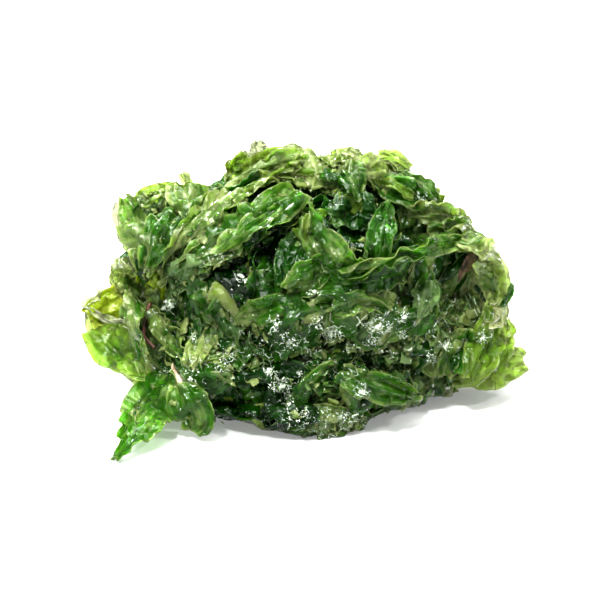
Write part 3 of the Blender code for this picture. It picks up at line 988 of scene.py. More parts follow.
# The last reflected colour of each finish is whitened: a painted milky sheen on top of the blade's pale
# green.
FROND_FINISHES = {
    Finish.DEEP: FrondFinish(
        ((0.001, 0.014, 0.0001), (0.01, 0.066, 0.001), (0.19, 0.28, 0.11)),
        ((0.01, 0.17, 0.001), (0.12, 0.52, 0.01), (0.60, 0.84, 0.18)), 0.45, (0.15, 0.54, 0.04), 0.22,
    ),
    Finish.LEAF: FrondFinish(
        ((0.001, 0.032, 0.0001), (0.041, 0.139, 0.006), (0.44, 0.5, 0.21)),
        ((0.03, 0.36, 0.002), (0.35, 0.73, 0.05), (0.92, 0.96, 0.42)), 0.6, (0.40, 0.78, 0.12), 0.32,
    ),
    Finish.PALE: FrondFinish(
        ((0.032, 0.12, 0.004), (0.23, 0.34, 0.045), (0.58, 0.66, 0.29)),
        ((0.32, 0.72, 0.04), (0.78, 0.93, 0.24), (0.98, 0.98, 0.72)), 0.62, (0.74, 0.92, 0.44), 0.42,
    ),
    Finish.FILM: FrondFinish(
        ((0.16, 0.25, 0.06), (0.58, 0.62, 0.28), (0.80, 0.82, 0.58)),
        ((0.56, 0.72, 0.24), (0.74, 0.82, 0.44), (0.86, 0.90, 0.70)), 0.5, (0.90, 0.95, 0.74), 0.48, 0.3,
    ),
    Finish.SUNNY: FrondFinish(
        ((0.09, 0.20, 0.001), (0.34, 0.47, 0.012), (0.60, 0.65, 0.14)),
        ((0.40, 0.66, 0.01), (0.70, 0.86, 0.05), (0.92, 0.94, 0.32)), 0.55, (0.90, 0.92, 0.20), 0.3,
    ),
}


@dataclass(frozen=True)
class ScrapFinish:
    """The finish of the stem, twig or scrap: two colours in uneven streaks."""

    node: str
    dark: tuple
    light: tuple
    roughness: float = 0.55

    def dress(self, obj: bpy.types.Object) -> None:
        """Gives the finish to the piece.

        Args:
            obj: the CAD node, which stays as it is.
        """
        material, n = Nodes.of_material(self.node)
        place = n.add("ShaderNodeTexCoord").outputs["Object"]
        blotches, grain = n.noise(place, 420.0, 3.0), n.noise(place, 1900.0, 2.0)
        share = n.math("MULTIPLY", n.math("SUBTRACT", blotches, 0.36, True), 3.4, True)
        colour = n.mix(share, (*self.dark, 1.0), (*self.light, 1.0))
        height = n.total((blotches, 1), (grain, 0.6))
        bump = n.add("ShaderNodeBump", {"Height": height, "Strength": 0.9, "Distance": 0.0006})
        values = {"Base Color": colour, "Roughness": self.roughness, "Normal": bump.outputs[0]}
        body = n.add("ShaderNodeBsdfPrincipled", values)
        n.add("ShaderNodeOutputMaterial", {"Surface": body.outputs[0]})
        obj.data.materials.clear()
        obj.data.materials.append(material)
        log.info("kept %s: %d faces", self.node, len(obj.data.polygons))


SCRAP_FINISHES = (
    ScrapFinish("red_stem", (0.06, 0.025, 0.010), (0.26, 0.09, 0.07), 0.4),
    ScrapFinish("pale_twig", (0.22, 0.14, 0.07), (0.66, 0.58, 0.44)),
    ScrapFinish("brown_scrap", (0.02, 0.012, 0.006), (0.20, 0.12, 0.07)),
)


@dataclass(frozen=True)
class Blade:
    """A main blade, made over the solid of the same name.

    line and width are the solid's middle line and greatest width. ends are the shares of the width
    that its first and last end have, and broad is how much wider than the solid the sheet is. facing is
    the side of a blade that stands free of the pile, and cup how far its edges stand out that way.
    """

    name: str
    line: tuple
    width: float
    finish: Finish = Finish.LEAF
    tone: float = 0.5
    slack: tuple = (1.08, 1.3, 0.35)
    depth: tuple = (-2.4, 1.5)
    ends: tuple = (0.35, 0.35)
    broad: float = 1.2
    cup: float = 0.0
    facing: tuple = ()
    pleats: float = 0.7

    def home(self, rows: int, columns: int, solids: Solids) -> Pair:
        """Where the sheet's corners would lie if it fitted, and the side that they face.

        Args:
            rows: corners along.
            columns: corners across.
            solids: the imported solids.

        Returns:
            Points and unit directions, each by row and column.
        """
        u, v = np.linspace(0, 1, rows), np.linspace(-1, 1, columns)
        middle = along(self.line, u)
        tangent = unit(along(self.line, u + 0.02) - along(self.line, u - 0.02))
        outward = np.tile(unit(np.array(self.facing)), (rows, 1)) if self.facing else unit(middle - HEART)
        across = unit(np.cross(tangent, outward))
        first, last = self.ends
        fullness = np.sin(math.pi * np.clip(u, 0.02, 0.98)) ** 0.7
        ends = first + (last - first) * u
        phase = len(self.name) * 1.7
        lobes = 1 + 0.14 * np.sin(2 * math.pi * (1.6 * u[:, None] + 0.3 * v) + phase)
        half = self.width / 2 * self.broad * (ends + (1 - ends) * fullness)[:, None] * lobes
        points = middle[:, None] + across[:, None] * (half * v)[..., None]
        points += outward[:, None] * (self.cup * (v * v - 0.5))[None, :, None]
        if self.facing:
            return points, np.tile(outward[:, None], (1, columns, 1))
        rays = unit(points - HEART)
        reach = solids.reach(self.name, rays)
        if np.isnan(reach).all():
            reach = np.linalg.norm(points - HEART, axis=-1)
        return HEART + rays * filled(reach)[..., None], rays


L, D, P, F = Finish.LEAF, Finish.DEEP, Finish.PALE, Finish.FILM

BLADES = (
    Blade("back_low_blade", ((-36, 34, 5), (-10, 42, 7), (16, 42, 5)), 13, P, 0.45),
    Blade("back_cross_blade", ((-30, 34, 20), (2, 40, 24), (30, 32, 20)), 18, D, 0.4),
    Blade("back_middle_blade", ((6, 46, 4), (4, 42, 30), (4, 26, 58)), 30, D, 0.6),
    Blade("back_left_blade", ((-26, 40, 4), (-25, 36, 26), (-18, 26, 50)), 28, L, 0.5),
    Blade("back_right_blade", ((34, 38, 4), (36, 33, 26), (28, 24, 52)), 28, L, 0.45),
    Blade("left_back_blade", ((-46, 20, 5), (-45, 22, 24), (-38, 23, 44)), 24, D, 0.55),
    Blade("left_side_blade", ((-52, 2, 5), (-50, 6, 20), (-47, 12, 34)), 20, L, 0.5),
    Blade("right_back_blade", ((52, 24, 4), (52, 24, 22), (44, 20, 42)), 24, D, 0.55),
    Blade("right_foot_blade", ((56, 8, 4), (57, 14, 14), (54, 20, 28)), 18, P, 0.4),
    Blade("left_rear_crown_blade", ((-44, 20, 45), (-34, 24, 47), (-21, 28, 49)), 20, L, 0.5),
    Blade("right_rear_crown_blade", ((16, 20, 64), (30, 20, 57), (42, 18, 46)), 20, D, 0.6),
    Blade("back_crown_blade", ((-22, 31, 44), (2, 28, 56), (28, 25, 50)), 24, L, 0.4),
    Blade("bottom_fringe_blade", ((-4, -40, 4), (11, -42, 4), (24, -38, 4)), 12, L, 0.35),
    Blade("lower_left_blade", ((-30, -28, 13), (-12, -35, 14), (4, -36, 12)), 17, D, 0.4),
    Blade("dark_hollow_blade", ((-22, -18, 48), (0, -20, 50), (20, -16, 52)), 28, D, 0.3),
    Blade("left_low_blade", ((-41, -10, 27), (-37, -20, 17), (-27, -30, 9)), 18, L, 0.4),
    Blade("right_front_blade", ((38, -8, 46), (45, -8, 30), (42, -13, 12)), 20, L, 0.5),
    Blade("left_front_blade", ((-36, -14, 38), (-28, -21, 28), (-20, -30, 18)), 18, L, 0.35),
    Blade("chopped_front_blade", ((-8, -29, 27), (14, -27, 26), (38, -18, 22)), 20, D, 0.45),
    Blade("front_left_band", ((-25, -21, 38), (-9, -25, 35), (8, -26, 36)), 18, L, 0.35),
    Blade("front_right_band", ((4, -25, 38), (22, -22, 37), (38, -15, 34)), 18, L, 0.4),
    Blade("crown_ridge_blade", ((-8, 2, 67), (8, 3, 70), (24, 3, 69)), 14, L, 0.6),
    Blade("crown_right_blade", ((10, 5, 70), (26, 6, 67), (39, 8, 58)), 14, P, 0.5),
    Blade(
        "left_pocket_blade", ((-42.5, -9, 10), (-48.8, -7, 17), (-54, -4, 25), (-57, -2, 32)), 17, P, 0.85,
        (1.04, 1.12, 0.1), (-1.0, 1.0), (0.5, 0.6), 0.93, 3.0, FORWARD,
    ),
    Blade(
        "right_bright_blade", ((46, 0, 46), (51, 1, 38), (52.5, 2, 28), (50, 0, 18)), 14, P, 1.0,
        (1.05, 1.3, 0.1), (-1.2, 1.4), (0.5, 0.5), 0.9, 1.5, FORWARD,
    ),
    Blade(
        "right_tip_blade", ((44, -10, 10), (54, -7, 11), (64, -4, 11.5)), 10, P, 0.35,
        (1.08, 1.3, 0.3), (-1.2, 1.6), (0.5, 0.5), 1.0, 0.8, FORWARD,
    ),
    Blade(
        "crown_cup_blade", ((-12.3, 7.5, 68.8), (-12.6, 7, 71.8), (-12.6, 7.5, 75)), 6.5, F, 0.7,
        (1.02, 1.15, 0.15), (-0.7, 1.2), (0.5, 0.12), 1.0, 1.6, FORWARD,
    ),
    Blade(
        "crown_disc_blade", ((-17, 8, 67.0), (-17, 8, 69.3), (-17, 8, 71.8)), 5, F, 0.55,
        (1.02, 1.05, 0.05), (-0.4, 0.5), (0.1, 0.1), 1.1, 0.6, FORWARD,
    ),
)


@dataclass(frozen=True)
class Leaf:
    """A blade that can be told apart in the front, as the camera sees it.

    line is its middle line: x and y in the image's pixels, the blade's width there in pixels, and
    how far it lies in front of the solids in millimetres. cup is how far its edges stand nearer the
    camera than its middle, and uneven how torn its outline is. node is the solid that it replaces, if
    it is one of those, and free says that the solid stands out of the pile.
    """

    name: str
    line: tuple
    finish: Finish = Finish.LEAF
    tone: float = 0.5
    cup: float = 0.0
    node: str = ""
    slack: tuple = (1.04, 1.26, 0.2)
    depth: tuple = (-1.9, 1.4)
    pleats: float = 0.42
    uneven: float = 0.10
    free: bool = False

    def home(self, rows: int, columns: int, solids: Solids) -> Pair:
        """Where the sheet's corners would lie if it fitted, and the side that they face.

        Args:
            rows: corners along.
            columns: corners across.
            solids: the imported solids.

        Returns:
            Points and unit directions, each by row and column.
        """
        random = np.random.default_rng(SEED + sum(map(ord, self.name)))
        u, v = ragged(rows, columns, random, self.uneven)
        course = along(self.line, u.ravel()).reshape(rows, columns, 4)
        step = along(self.line, u.ravel() + 0.02) - along(self.line, u.ravel() - 0.02)
        step = unit(step[:, :2]).reshape(rows, columns, 2)
        across = np.stack([-step[..., 1], step[..., 0]], axis=-1)
        half = (np.maximum(course[..., 2], 1.0) * BROADER + 1) / 2 * v
        rays = VIEW.rays(course[..., :2] + across * half[..., None])
        depth = filled(solids.before(VIEW.eye(), rays))
        for _ in range(4):
            wide = np.pad(depth, 1, mode="edge")
            near = [wide[i:i + rows, j:j + columns] for i in range(3) for j in range(3)]
            depth = (np.min(near, axis=0) + 2 * np.mean(near, axis=0)) / 3
        depth -= course[..., 3] * CLOSER + self.cup * (v * v - 0.5)
        points = VIEW.eye() + rays * depth[..., None]
        return points, unit(unit(points - HEART) - rays)


LEAVES = (
    Leaf("upper_left_leaf", (
        (306, 160, 12, 1.5), (272, 170, 16, 2.5), (236, 190, 17, 3), (205, 216, 17, 3), (180, 244, 15, 2),
        (164, 268, 6, 1),
    ), L, 0.9, 1.0, "upper_left_blade"),
    Leaf("second_left_leaf", (
        (300, 192, 18, 1), (276, 206, 25, 2), (248, 226, 27, 2.5), (212, 247, 22, 2), (188, 262, 8, 1),
    ), L, 0.6, 0.8, "second_left_blade"),
    Leaf("shoulder_leaf", (
        (125, 194, 3, 2), (133, 210, 22, 2), (141, 230, 28, 2), (146, 254, 20, 1.5), (144, 276, 10, 1),
    ), L, 0.85, 0.8, "left_shoulder_blade"),
    Leaf("loop_leaf", (
        (140, 204, 8, 1), (149, 194, 10, 2), (165, 190, 10, 2.5), (183, 192, 10, 2), (200, 188, 6, 1),
    ), P, 0.35, 0.6, "left_loop_blade"),
    Leaf("white_flap_leaf", ((121, 198, 4, 0.5), (117, 211, 6, 0.5), (119, 227, 4, 0.5)), F, 0.8),
    # A pale strip along the shoulder's edge: a painted sheen where the wet edge reflects the light.
    Leaf("silver_edge_leaf", ((118, 226, 4, 1), (124, 238, 6, 1.5), (133, 251, 4, 1)), P, 0.9),
    Leaf("triangle_leaf", (
        (186, 184, 27, 2.5), (186, 198, 24, 3.5), (188, 214, 12, 3.5), (192, 232, 5, 2.5),
    ), L, 0.75, 0.5),
    Leaf("top_flap_leaf", ((181, 173, 4, 0.5), (186, 181, 7, 1), (190, 193, 7, 2)), P, 1.0),
    Leaf("lower_shoulder_leaf", (
        (177, 212, 16, 2), (166, 226, 24, 2.5), (153, 246, 20, 2.5), (146, 270, 8, 1.5),
    ), L, 0.55, 0.6),
    Leaf("crown_left_leaf", (
        (287, 156, 9, 1.5), (263, 165, 15, 2.5), (243, 179, 14, 2), (227, 197, 5, 1),
    ), P, 0.6, 0.5, "crown_left_blade"),
    Leaf("crown_edge_leaf", ((246, 154, 8, 1), (237, 168, 12, 1.5), (229, 187, 5, 1)), P, 0.45, 0.3),
    Leaf("salty_side_leaf", (
        (207, 261, 10, 1), (186, 275, 20, 1.5), (167, 299, 8, 1),
    ), D, 0.85, 0.3, "dark_left_blade"),
    Leaf("yellow_leaf", ((151, 275, 12, 0.5), (149, 288, 15, 0.5), (147, 303, 8, 0)), P, 0.75),
    Leaf("left_fold_leaf", (
        (129, 278, 9, 1.5), (131, 300, 9, 2.5), (134, 326, 8, 3), (140, 350, 7, 2.5), (144, 374, 3, 2),
    ), L, 0.85, 0.6, "left_fold_blade"),
    Leaf("pale_side_leaf", ((130, 262, 13, 1), (121, 276, 16, 1), (118, 292, 6, 1)), P, 0.7, 0.5),
    Leaf("stem_leaf", (
        (151, 309, 6, 1), (160, 326, 13, 1.8), (173, 341, 13, 1.8), (187, 364, 4, 1),
    ), L, 0.8, 0.5),
    Leaf("light_left_leaf", ((206, 328, 9, 1), (198, 347, 16, 2), (189, 370, 7, 1)), L, 0.85, 0.4),
    Leaf("grey_left_leaf", ((224, 300, 15, 1), (222, 321, 21, 1.8), (233, 348, 10, 1)), D, 0.7, 0.5),
    Leaf("middle_left_leaf", (
        (234, 319, 7, 1), (254, 313, 15, 2), (275, 306, 15, 2), (291, 299, 6, 1),
    ), L, 0.6, 0.6),
    Leaf("hanging_leaf", (
        (354, 160, 12, 1.5), (355, 176, 15, 3), (361, 201, 2, 3),
    ), L, 0.55, 0.5, "hanging_leaf_blade"),
    Leaf("grey_leaf", (
        (352, 193, 24, 1), (353, 210, 33, 2), (350, 229, 18, 1.5),
    ), D, 0.5, 0.4, "grey_leaf_blade"),
    Leaf("glossy_curl_leaf", (
        (306, 208, 10, 1.5), (314, 236, 21, 3), (332, 258, 24, 3.5), (352, 269, 17, 3), (368, 266, 6, 2),
    ), L, 0.56, 2.0, "glossy_curl_blade", (1.04, 1.2, 0.15)),
    Leaf("long_ribbon_leaf", (
        (334, 277, 3, 3), (362, 270, 5, 3.5), (395, 259, 7, 3.5), (430, 249, 10, 3), (458, 243, 12, 2),
        (480, 237, 8, 1),
    ), L, 0.6, 0.5, "long_ribbon_blade"),
    Leaf("upright_centre_leaf", (
        (387, 203, 5, 2), (383, 222, 15, 3), (379, 246, 16, 3), (375, 268, 7, 2),
    ), L, 0.32, 0.6, "upright_centre_blade"),
    # A strip of the deep finish at its lightest tone along the crest: a painted silvery sheen.
    Leaf("silver_crest_leaf", (
        (388, 175, 4, 1), (409, 178, 5, 2), (426, 185, 6, 1.5), (437, 200, 4, 1),
    ), D, 1.0, 0.4),
    Leaf("right_crest_leaf", (
        (402, 214, 6, 2.5), (428, 213, 13, 3), (450, 221, 14, 2.5), (472, 229, 6, 1.5),
    ), L, 0.85, 0.6, "right_crest_blade"),
    Leaf("right_shoulder_leaf", (
        (428, 236, 10, 1.5), (455, 234, 18, 2), (487, 243, 10, 1),
    ), L, 0.7, 0.8, "right_shoulder_blade"),
    Leaf("upper_right_leaf", ((378, 185, 10, 1.5), (402, 192, 20, 2), (428, 203, 9, 1.5)), L, 0.42, 0.6),
    Leaf("centre_leaf", (
        (324, 265, 14, 1), (306, 278, 24, 2), (287, 291, 9, 1),
    ), L, 0.55, 0.5, "centre_leaf_blade"),
    Leaf("dark_centre_leaf", ((301, 232, 15, 0), (293, 258, 22, 0), (283, 285, 8, 0)), D, 0.5, 0.4),
    Leaf("row_left_leaf", (
        (328, 313, 6, 1.5), (349, 305, 14, 2.2), (370, 302, 13, 2.2), (388, 311, 4, 1.5),
    ), L, 0.7, 0.5),
    Leaf("row_middle_leaf", (
        (341, 289, 8, 1), (366, 283, 17, 2), (396, 275, 15, 2), (412, 269, 5, 1),
    ), L, 0.45, 0.5),
    Leaf("row_small_leaf", ((387, 290, 15, 2), (384, 302, 13, 2.5), (382, 317, 3, 2)), L, 0.85, 0.3),
    Leaf("row_grey_leaf", ((429, 280, 10, 1.5), (425, 298, 17, 2.5), (417, 320, 4, 2)), D, 0.9, 0.3),
    Leaf("right_drape_leaf", (
        (492, 304, 11, 1), (489, 330, 21, 2), (480, 360, 24, 2.5), (469, 382, 10, 1.5),
    ), P, 0.4, 0.5, "right_low_blade"),
    Leaf("inner_drape_leaf", ((464, 328, 12, 1), (455, 350, 19, 2), (443, 377, 7, 1.5)), L, 0.75, 0.5),
    Leaf("outer_drape_leaf", ((506, 320, 8, 0.5), (501, 345, 17, 1), (494, 374, 8, 1)), P, 0.5, 0.4),
    Leaf("lower_leaf", (
        (338, 372, 12, 2), (364, 384, 18, 3), (396, 392, 14, 3), (421, 398, 2, 2.5),
    ), L, 0.6, 0.6, "lower_leaf_blade"),
    Leaf("crown_yellow_leaf", ((337, 154, 6, 0.5), (347, 153, 8, 1), (357, 156, 3, 0.5)), P, 0.8),
    Leaf("crown_torn_leaf", ((352, 165, 8, 1.5), (366, 167, 14, 2), (383, 172, 6, 1.5)), P, 0.7),
    Leaf("crown_right_leaf", ((378, 157, 6, 1), (392, 158, 10, 1.5), (411, 168, 4, 1)), P, 0.6),
    Leaf("crown_middle_leaf", ((290, 165, 8, 1), (312, 166, 12, 1.5), (336, 166, 8, 1)), P, 0.35),
    Leaf("front_left_tip_leaf", (
        (168, 370, 10, 1), (160, 387, 24, 1), (149, 405, 34, 1), (140, 422, 28, 1), (126, 441, 12, 0.5),
        (112, 459, 1, 0.5),
    ), L, 0.65, 1.0, "front_left_tip_blade", (1.03, 1.16, 0.2), free=True),
    Leaf("tip_centre_leaf", ((155, 394, 6, 2), (146, 408, 13, 2.5), (138, 422, 5, 2)), D, 0.45, 0.3),
    # A thin strip of blade along the tip's rim, in a pale tone: a painted highlight where the rim catches the
    # light.
    Leaf("front_left_rim_leaf", ((156, 386, 3, 2), (139, 404, 4, 2), (127, 428, 4, 1.5)), P, 0.9),
    Leaf("front_left_short_leaf", (
        (176, 384, 12, 1), (186, 400, 28, 1.5), (196, 417, 30, 1.5), (193, 433, 10, 1),
    ), L, 0.6, 0.6, "front_left_short_blade", (1.03, 1.16, 0.2), free=True),
    # A thin strip of blade along the short leaf's rim, in a pale tone: a painted highlight where the rim
    # catches the light.
    Leaf("short_rim_leaf", ((173, 400, 4, 2), (178, 413, 5, 2), (190, 421, 3, 1.5)), P, 0.95),
    Leaf("upper_strip_leaf", (
        (302, 167, 4, 2.5), (264, 180, 7, 4), (232, 198, 7, 4), (206, 216, 4, 3),
    ), P, 0.5, 0.4),
    Leaf("second_strip_leaf", (
        (297, 199, 4, 3), (270, 215, 7, 4), (242, 233, 8, 4), (214, 253, 4, 3),
    ), L, 0.72, 0.4),
    Leaf("side_strip_leaf", (
        (214, 222, 4, 3), (196, 240, 7, 3.5), (176, 262, 7, 3), (160, 286, 4, 2),
    ), L, 0.85, 0.4),
    Leaf("dark_strip_leaf", ((262, 176, 5, 3), (238, 190, 9, 4), (214, 204, 6, 3)), D, 0.6, 0.4),
    # A thin strip of blade along the curl's rim, in a pale tone: a painted highlight where the rim catches
    # the light.
    Leaf("curl_rim_leaf", ((308, 212, 1, 4), (306, 236, 3, 5), (322, 262, 3, 5), (346, 276, 1, 4)), P, 0.4),
    Leaf("top_fold_leaf", ((322, 172, 5, 3), (340, 178, 9, 4), (351, 196, 5, 4)), L, 0.3, 0.5),
    Leaf("top_right_fold_leaf", ((372, 176, 5, 3), (392, 184, 8, 4), (414, 196, 5, 3)), P, 0.4, 0.5),
    Leaf("crest_edge_leaf", ((462, 240, 8, 1.5), (484, 250, 14, 2), (501, 268, 8, 1.5)), P, 0.8),
    Leaf("pocket_inside_leaf", (
        (88, 318, 14, 1.5), (104, 309, 20, 1.5), (122, 298, 18, 1.5),
    ), Finish.SUNNY, 0.55),
    Leaf("yellow_patch_leaf", (
        (144, 270, 6, 1.5), (152, 283, 14, 2), (158, 298, 6, 1.5),
    ), Finish.SUNNY, 0.3),
    Leaf("pocket_edge_leaf", (
        (129, 277, 5, 2.5), (131, 300, 11, 3), (135, 330, 12, 3), (141, 362, 6, 2),
    ), L, 0.55, 0.6),
    Leaf("pocket_wall_leaf", (
        (91, 327, 20, 1.5), (105, 340, 32, 2.5), (124, 354, 30, 2.5), (146, 372, 12, 1),
    ), P, 0.4, 1.0, slack=(1.0, 1.08, 0.1)),
    Leaf("pocket_flap_leaf", ((81, 304, 4, 0.5), (96, 297, 6, 1), (112, 291, 4, 0.5)), F, 0.9),
    # A thin strip of blade along the pocket's rim, in the pale film finish: a painted highlight where the rim
    # catches the light.
    Leaf("pocket_rim_leaf", (
        (83, 306, 1, 2), (104, 317, 2, 2.5), (127, 326, 2, 2.5), (139, 345, 1, 2),
    ), F, 0.9),
    Leaf("bright_fold_leaf", ((484, 257, 7, 1), (494, 277, 12, 2), (499, 300, 6, 1)), P, 0.6),
    Leaf("crest_flap_leaf", ((481, 323, 5, 3), (492, 317, 15, 3.5), (501, 306, 5, 3)), F, 0.5),
    Leaf("crest_fold_leaf", ((474, 262, 3, 3), (486, 276, 10, 3.5), (496, 294, 4, 3)), L, 0.7, 0.5),
    Leaf("low_right_fold_leaf", ((470, 330, 5, 3), (462, 350, 13, 3.5), (455, 374, 6, 3)), L, 0.4, 0.5),
    Leaf("bright_edge_leaf", ((512, 284, 2, 0.5), (508, 296, 4, 1), (501, 307, 3, 0.5)), D, 0.5),
    # A thin strip in the darkest deep tone along a fold of the crest: painted shade in the crease.
    Leaf("dark_line_leaf", ((475, 285, 1, 2), (483, 297, 1, 2.5), (490, 311, 1, 2)), D, -0.1),
)


@dataclass(frozen=True)
class Grid:
    """The corners along and across that a sheet starts with, before they are doubled twice."""

    rows: int
    columns: int


LONG, BROAD, TUCKED, CHOPPED = Grid(18, 7), Grid(13, 9), Grid(6, 4), Grid(4, 4)


@dataclass(frozen=True)
class Crumpling:
    """How sheets are relaxed, first on a coarse grid and then on two finer ones."""

    ripples: tuple = (0.6, 0.35, 0.07)
    softness: tuple = (0.35, 0.6)
    steps: tuple = (160, 60, 10)
    bends: tuple = (0.06, 0.02, 0.05)
    shares: tuple = (0.0, 0.9, 1.2, 1.25)

    def run(self, batch: SheetBatch) -> np.ndarray:
        """Crumples a batch.

        Args:
            batch: sheets at home.

        Returns:
            Where the corners of its sheets lie at last.
        """
        for i in range(len(self.steps)):
            if i:
                batch.refine(self.softness[i - 1])
            batch.ripple(self.ripples[i])
            batch.relax(self.steps[i], self.shares[i], self.shares[i + 1], self.bends[i])
        return batch.place.astype(float)


@dataclass
class MainBlades:
    """The blades that can be told apart in the clump, most of them in place of their own solid."""

    solids: Solids
    form: PileForm
    hollows: Hollows
    finishes: dict
    sheets: list = field(default_factory=list)

    def build(self) -> None:
        """Crumples the blades that are made over the solids, and makes an object of each."""
        random = np.random.default_rng(SEED)
        for grid in (LONG, BROAD):
            chosen = [blade for blade in BLADES if self.grid(blade) == grid]
            homes = [blade.home(grid.rows, grid.columns, self.solids) for blade in chosen]
            homes = [(h[0] if b.facing else self.hollows.sink(h[0]), h[1]) for b, h in zip(chosen, homes)]
            laid = self.crumpled(chosen, homes, 2.0, SEED + grid.rows, Crumpling())
            for blade, points in zip(chosen, laid):
                points = points if blade.facing else self.form.held(points, 2.5)
                sheet = Sheet(points, PAINTED_LIGHT_SHADE_AND_TONE.shifted(blade.tone, points))
                sheet.frayed(random, 0.35)
                self.dress(blade.name.replace("_blade", "") + "_frond", sheet, blade.finish, blade.name)

    def build_leaves(self) -> None:
        """Crumples the leaves of the front and makes an object of each."""
        random = np.random.default_rng(SEED + 5)
        sharp = Crumpling((0.65, 0.22, 0.05), (0.0, 0.2))
        for grid in (LONG, BROAD):
            chosen = [leaf for leaf in LEAVES if (LONG if len(leaf.line) > 4 else BROAD) == grid]
            homes = [leaf.home(grid.rows, grid.columns, self.solids) for leaf in chosen]
            laid = self.crumpled(chosen, homes, 1.2, SEED + 6 + grid.rows, sharp)
            for leaf, points in zip(chosen, laid):
                sheet = Sheet(points, leaf.tone)
                sheet.frayed(random, 0.3)
                self.dress(leaf.name, sheet, leaf.finish, leaf.node)

    @staticmethod
    def grid(blade: Blade) -> Grid:
        """The grid that suits a blade's proportions."""
        length = np.linalg.norm(np.diff(along(blade.line, np.linspace(0, 1, 9)), axis=0), axis=-1).sum()
        return LONG if length > 2.2 * blade.width else BROAD

    @staticmethod
    def crumpled(chosen: list, homes: list, drift: float, seed: int, crumpling: Crumpling) -> np.ndarray:
        """Crumples the sheets of some blades of one grid size.

        Args:
            chosen: the blades.
            homes: the points and facing sides of each.
            drift: how far a corner may slide sideways.
            seed: the start of chance.
            crumpling: how to crumple them.

        Returns:
            The points of each blade's sheet.
        """
        home, facing = (np.array(part) for part in zip(*homes))
        own = ([getattr(blade, key) for blade in chosen] for key in ("slack", "depth", "pleats"))
        return crumpling.run(SheetBatch(home, facing, *own, drift, seed))

    def dress(self, name: str, sheet: Sheet, finish: Finish, node: str) -> None:
        """Makes one blade's object and ties it to its body, its finish and its solid.

        Args:
            name: the object's name.
            sheet: the blade.
            finish: its finish.
            node: its solid, or an empty name.
        """
        self.sheets.append(sheet)
        mesh = SheetMesh()
        mesh.add(sheet)
        tie(mesh.build(name), finish, self.finishes, node)


@dataclass
class PackedCore:
    """The blades folded flat inside the clump, seen only in its gaps, in the deep finish so that the gaps
    read dark: partly painted shade.
    """

    nodes: dict
    hollows: Hollows
    finishes: dict
    names: tuple = (
        "bed_blade", "lower_packed_blade", "middle_packed_blade", "upper_packed_blade", "crown_packed_blade",
    )
    shrink: float = 0.955
    fold: float = 1.5

    def build(self) -> None:
        """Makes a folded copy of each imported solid, drawn in a little from its surface."""
        for name in self.names:
            shape = bmesh.new()
            shape.from_mesh(self.nodes[name].data)
            bmesh.ops.remove_doubles(shape, verts=shape.verts, dist=1e-6)
            bmesh.ops.subdivide_edges(shape, edges=shape.edges, cuts=3, use_grid_fill=True, smooth=0.4)
            bmesh.ops.recalc_face_normals(shape, faces=shape.faces)
            shape.normal_update()
            centre = Vector(to_row(HEART))
            for vertex in shape.verts:
                x, y, z = (vertex.co - centre) / MM
                wave = math.sin(0.9 * z + 0.21 * x + 1.4 * math.sin(0.17 * y + 0.1 * x))
                wave += 0.6 * math.sin(0.63 * x - 0.5 * y + 1.1 * math.sin(0.4 * z))
                vertex.co.x = centre.x + x * self.shrink * MM
                vertex.co.y = centre.y + y * self.shrink * MM
                lift = vertex.normal * self.fold * 0.5 * wave * MM
                vertex.co += Vector((lift.x, lift.y, 0.0))
                vertex.co.z = max(centre.z + z * self.shrink * MM, 0.1 * MM)
            places = np.array([vertex.co for vertex in shape.verts]) / MM - PILE_ZERO
            for vertex, place in zip(shape.verts, to_row(self.hollows.sink(places))):
                vertex.co = place
            mesh = bpy.data.meshes.new(name)
            shape.to_mesh(mesh)
            shape.free()
            mesh.shade_smooth()
            # Deep finish on the inner folds: the dark of the gaps is partly painted shade.
            tie(linked(name.replace("_blade", "") + "_folds", mesh), D, self.finishes, name)


def lay(kind: str, sheets: list[tuple[Finish, Sheet]], finishes: dict) -> None:
    """Makes an object of the small sheets of each finish, apart for the clump's front and rear.

    Args:
        kind: what the sheets are, for the objects' names.
        sheets: the sheets, each with its finish.
        finishes: the materials by finish.
    """
    for half in ("front", "rear"):
        for finish in (D, L, P):
            mesh = SheetMesh()
            for own, sheet in sheets:
                if own is finish and (sheet.points[..., 1].mean() < HEART[1]) == (half == "front"):
                    mesh.add(sheet)
            tie(mesh.build(f"{half}_{finish.value}_{kind}"), finish, finishes)


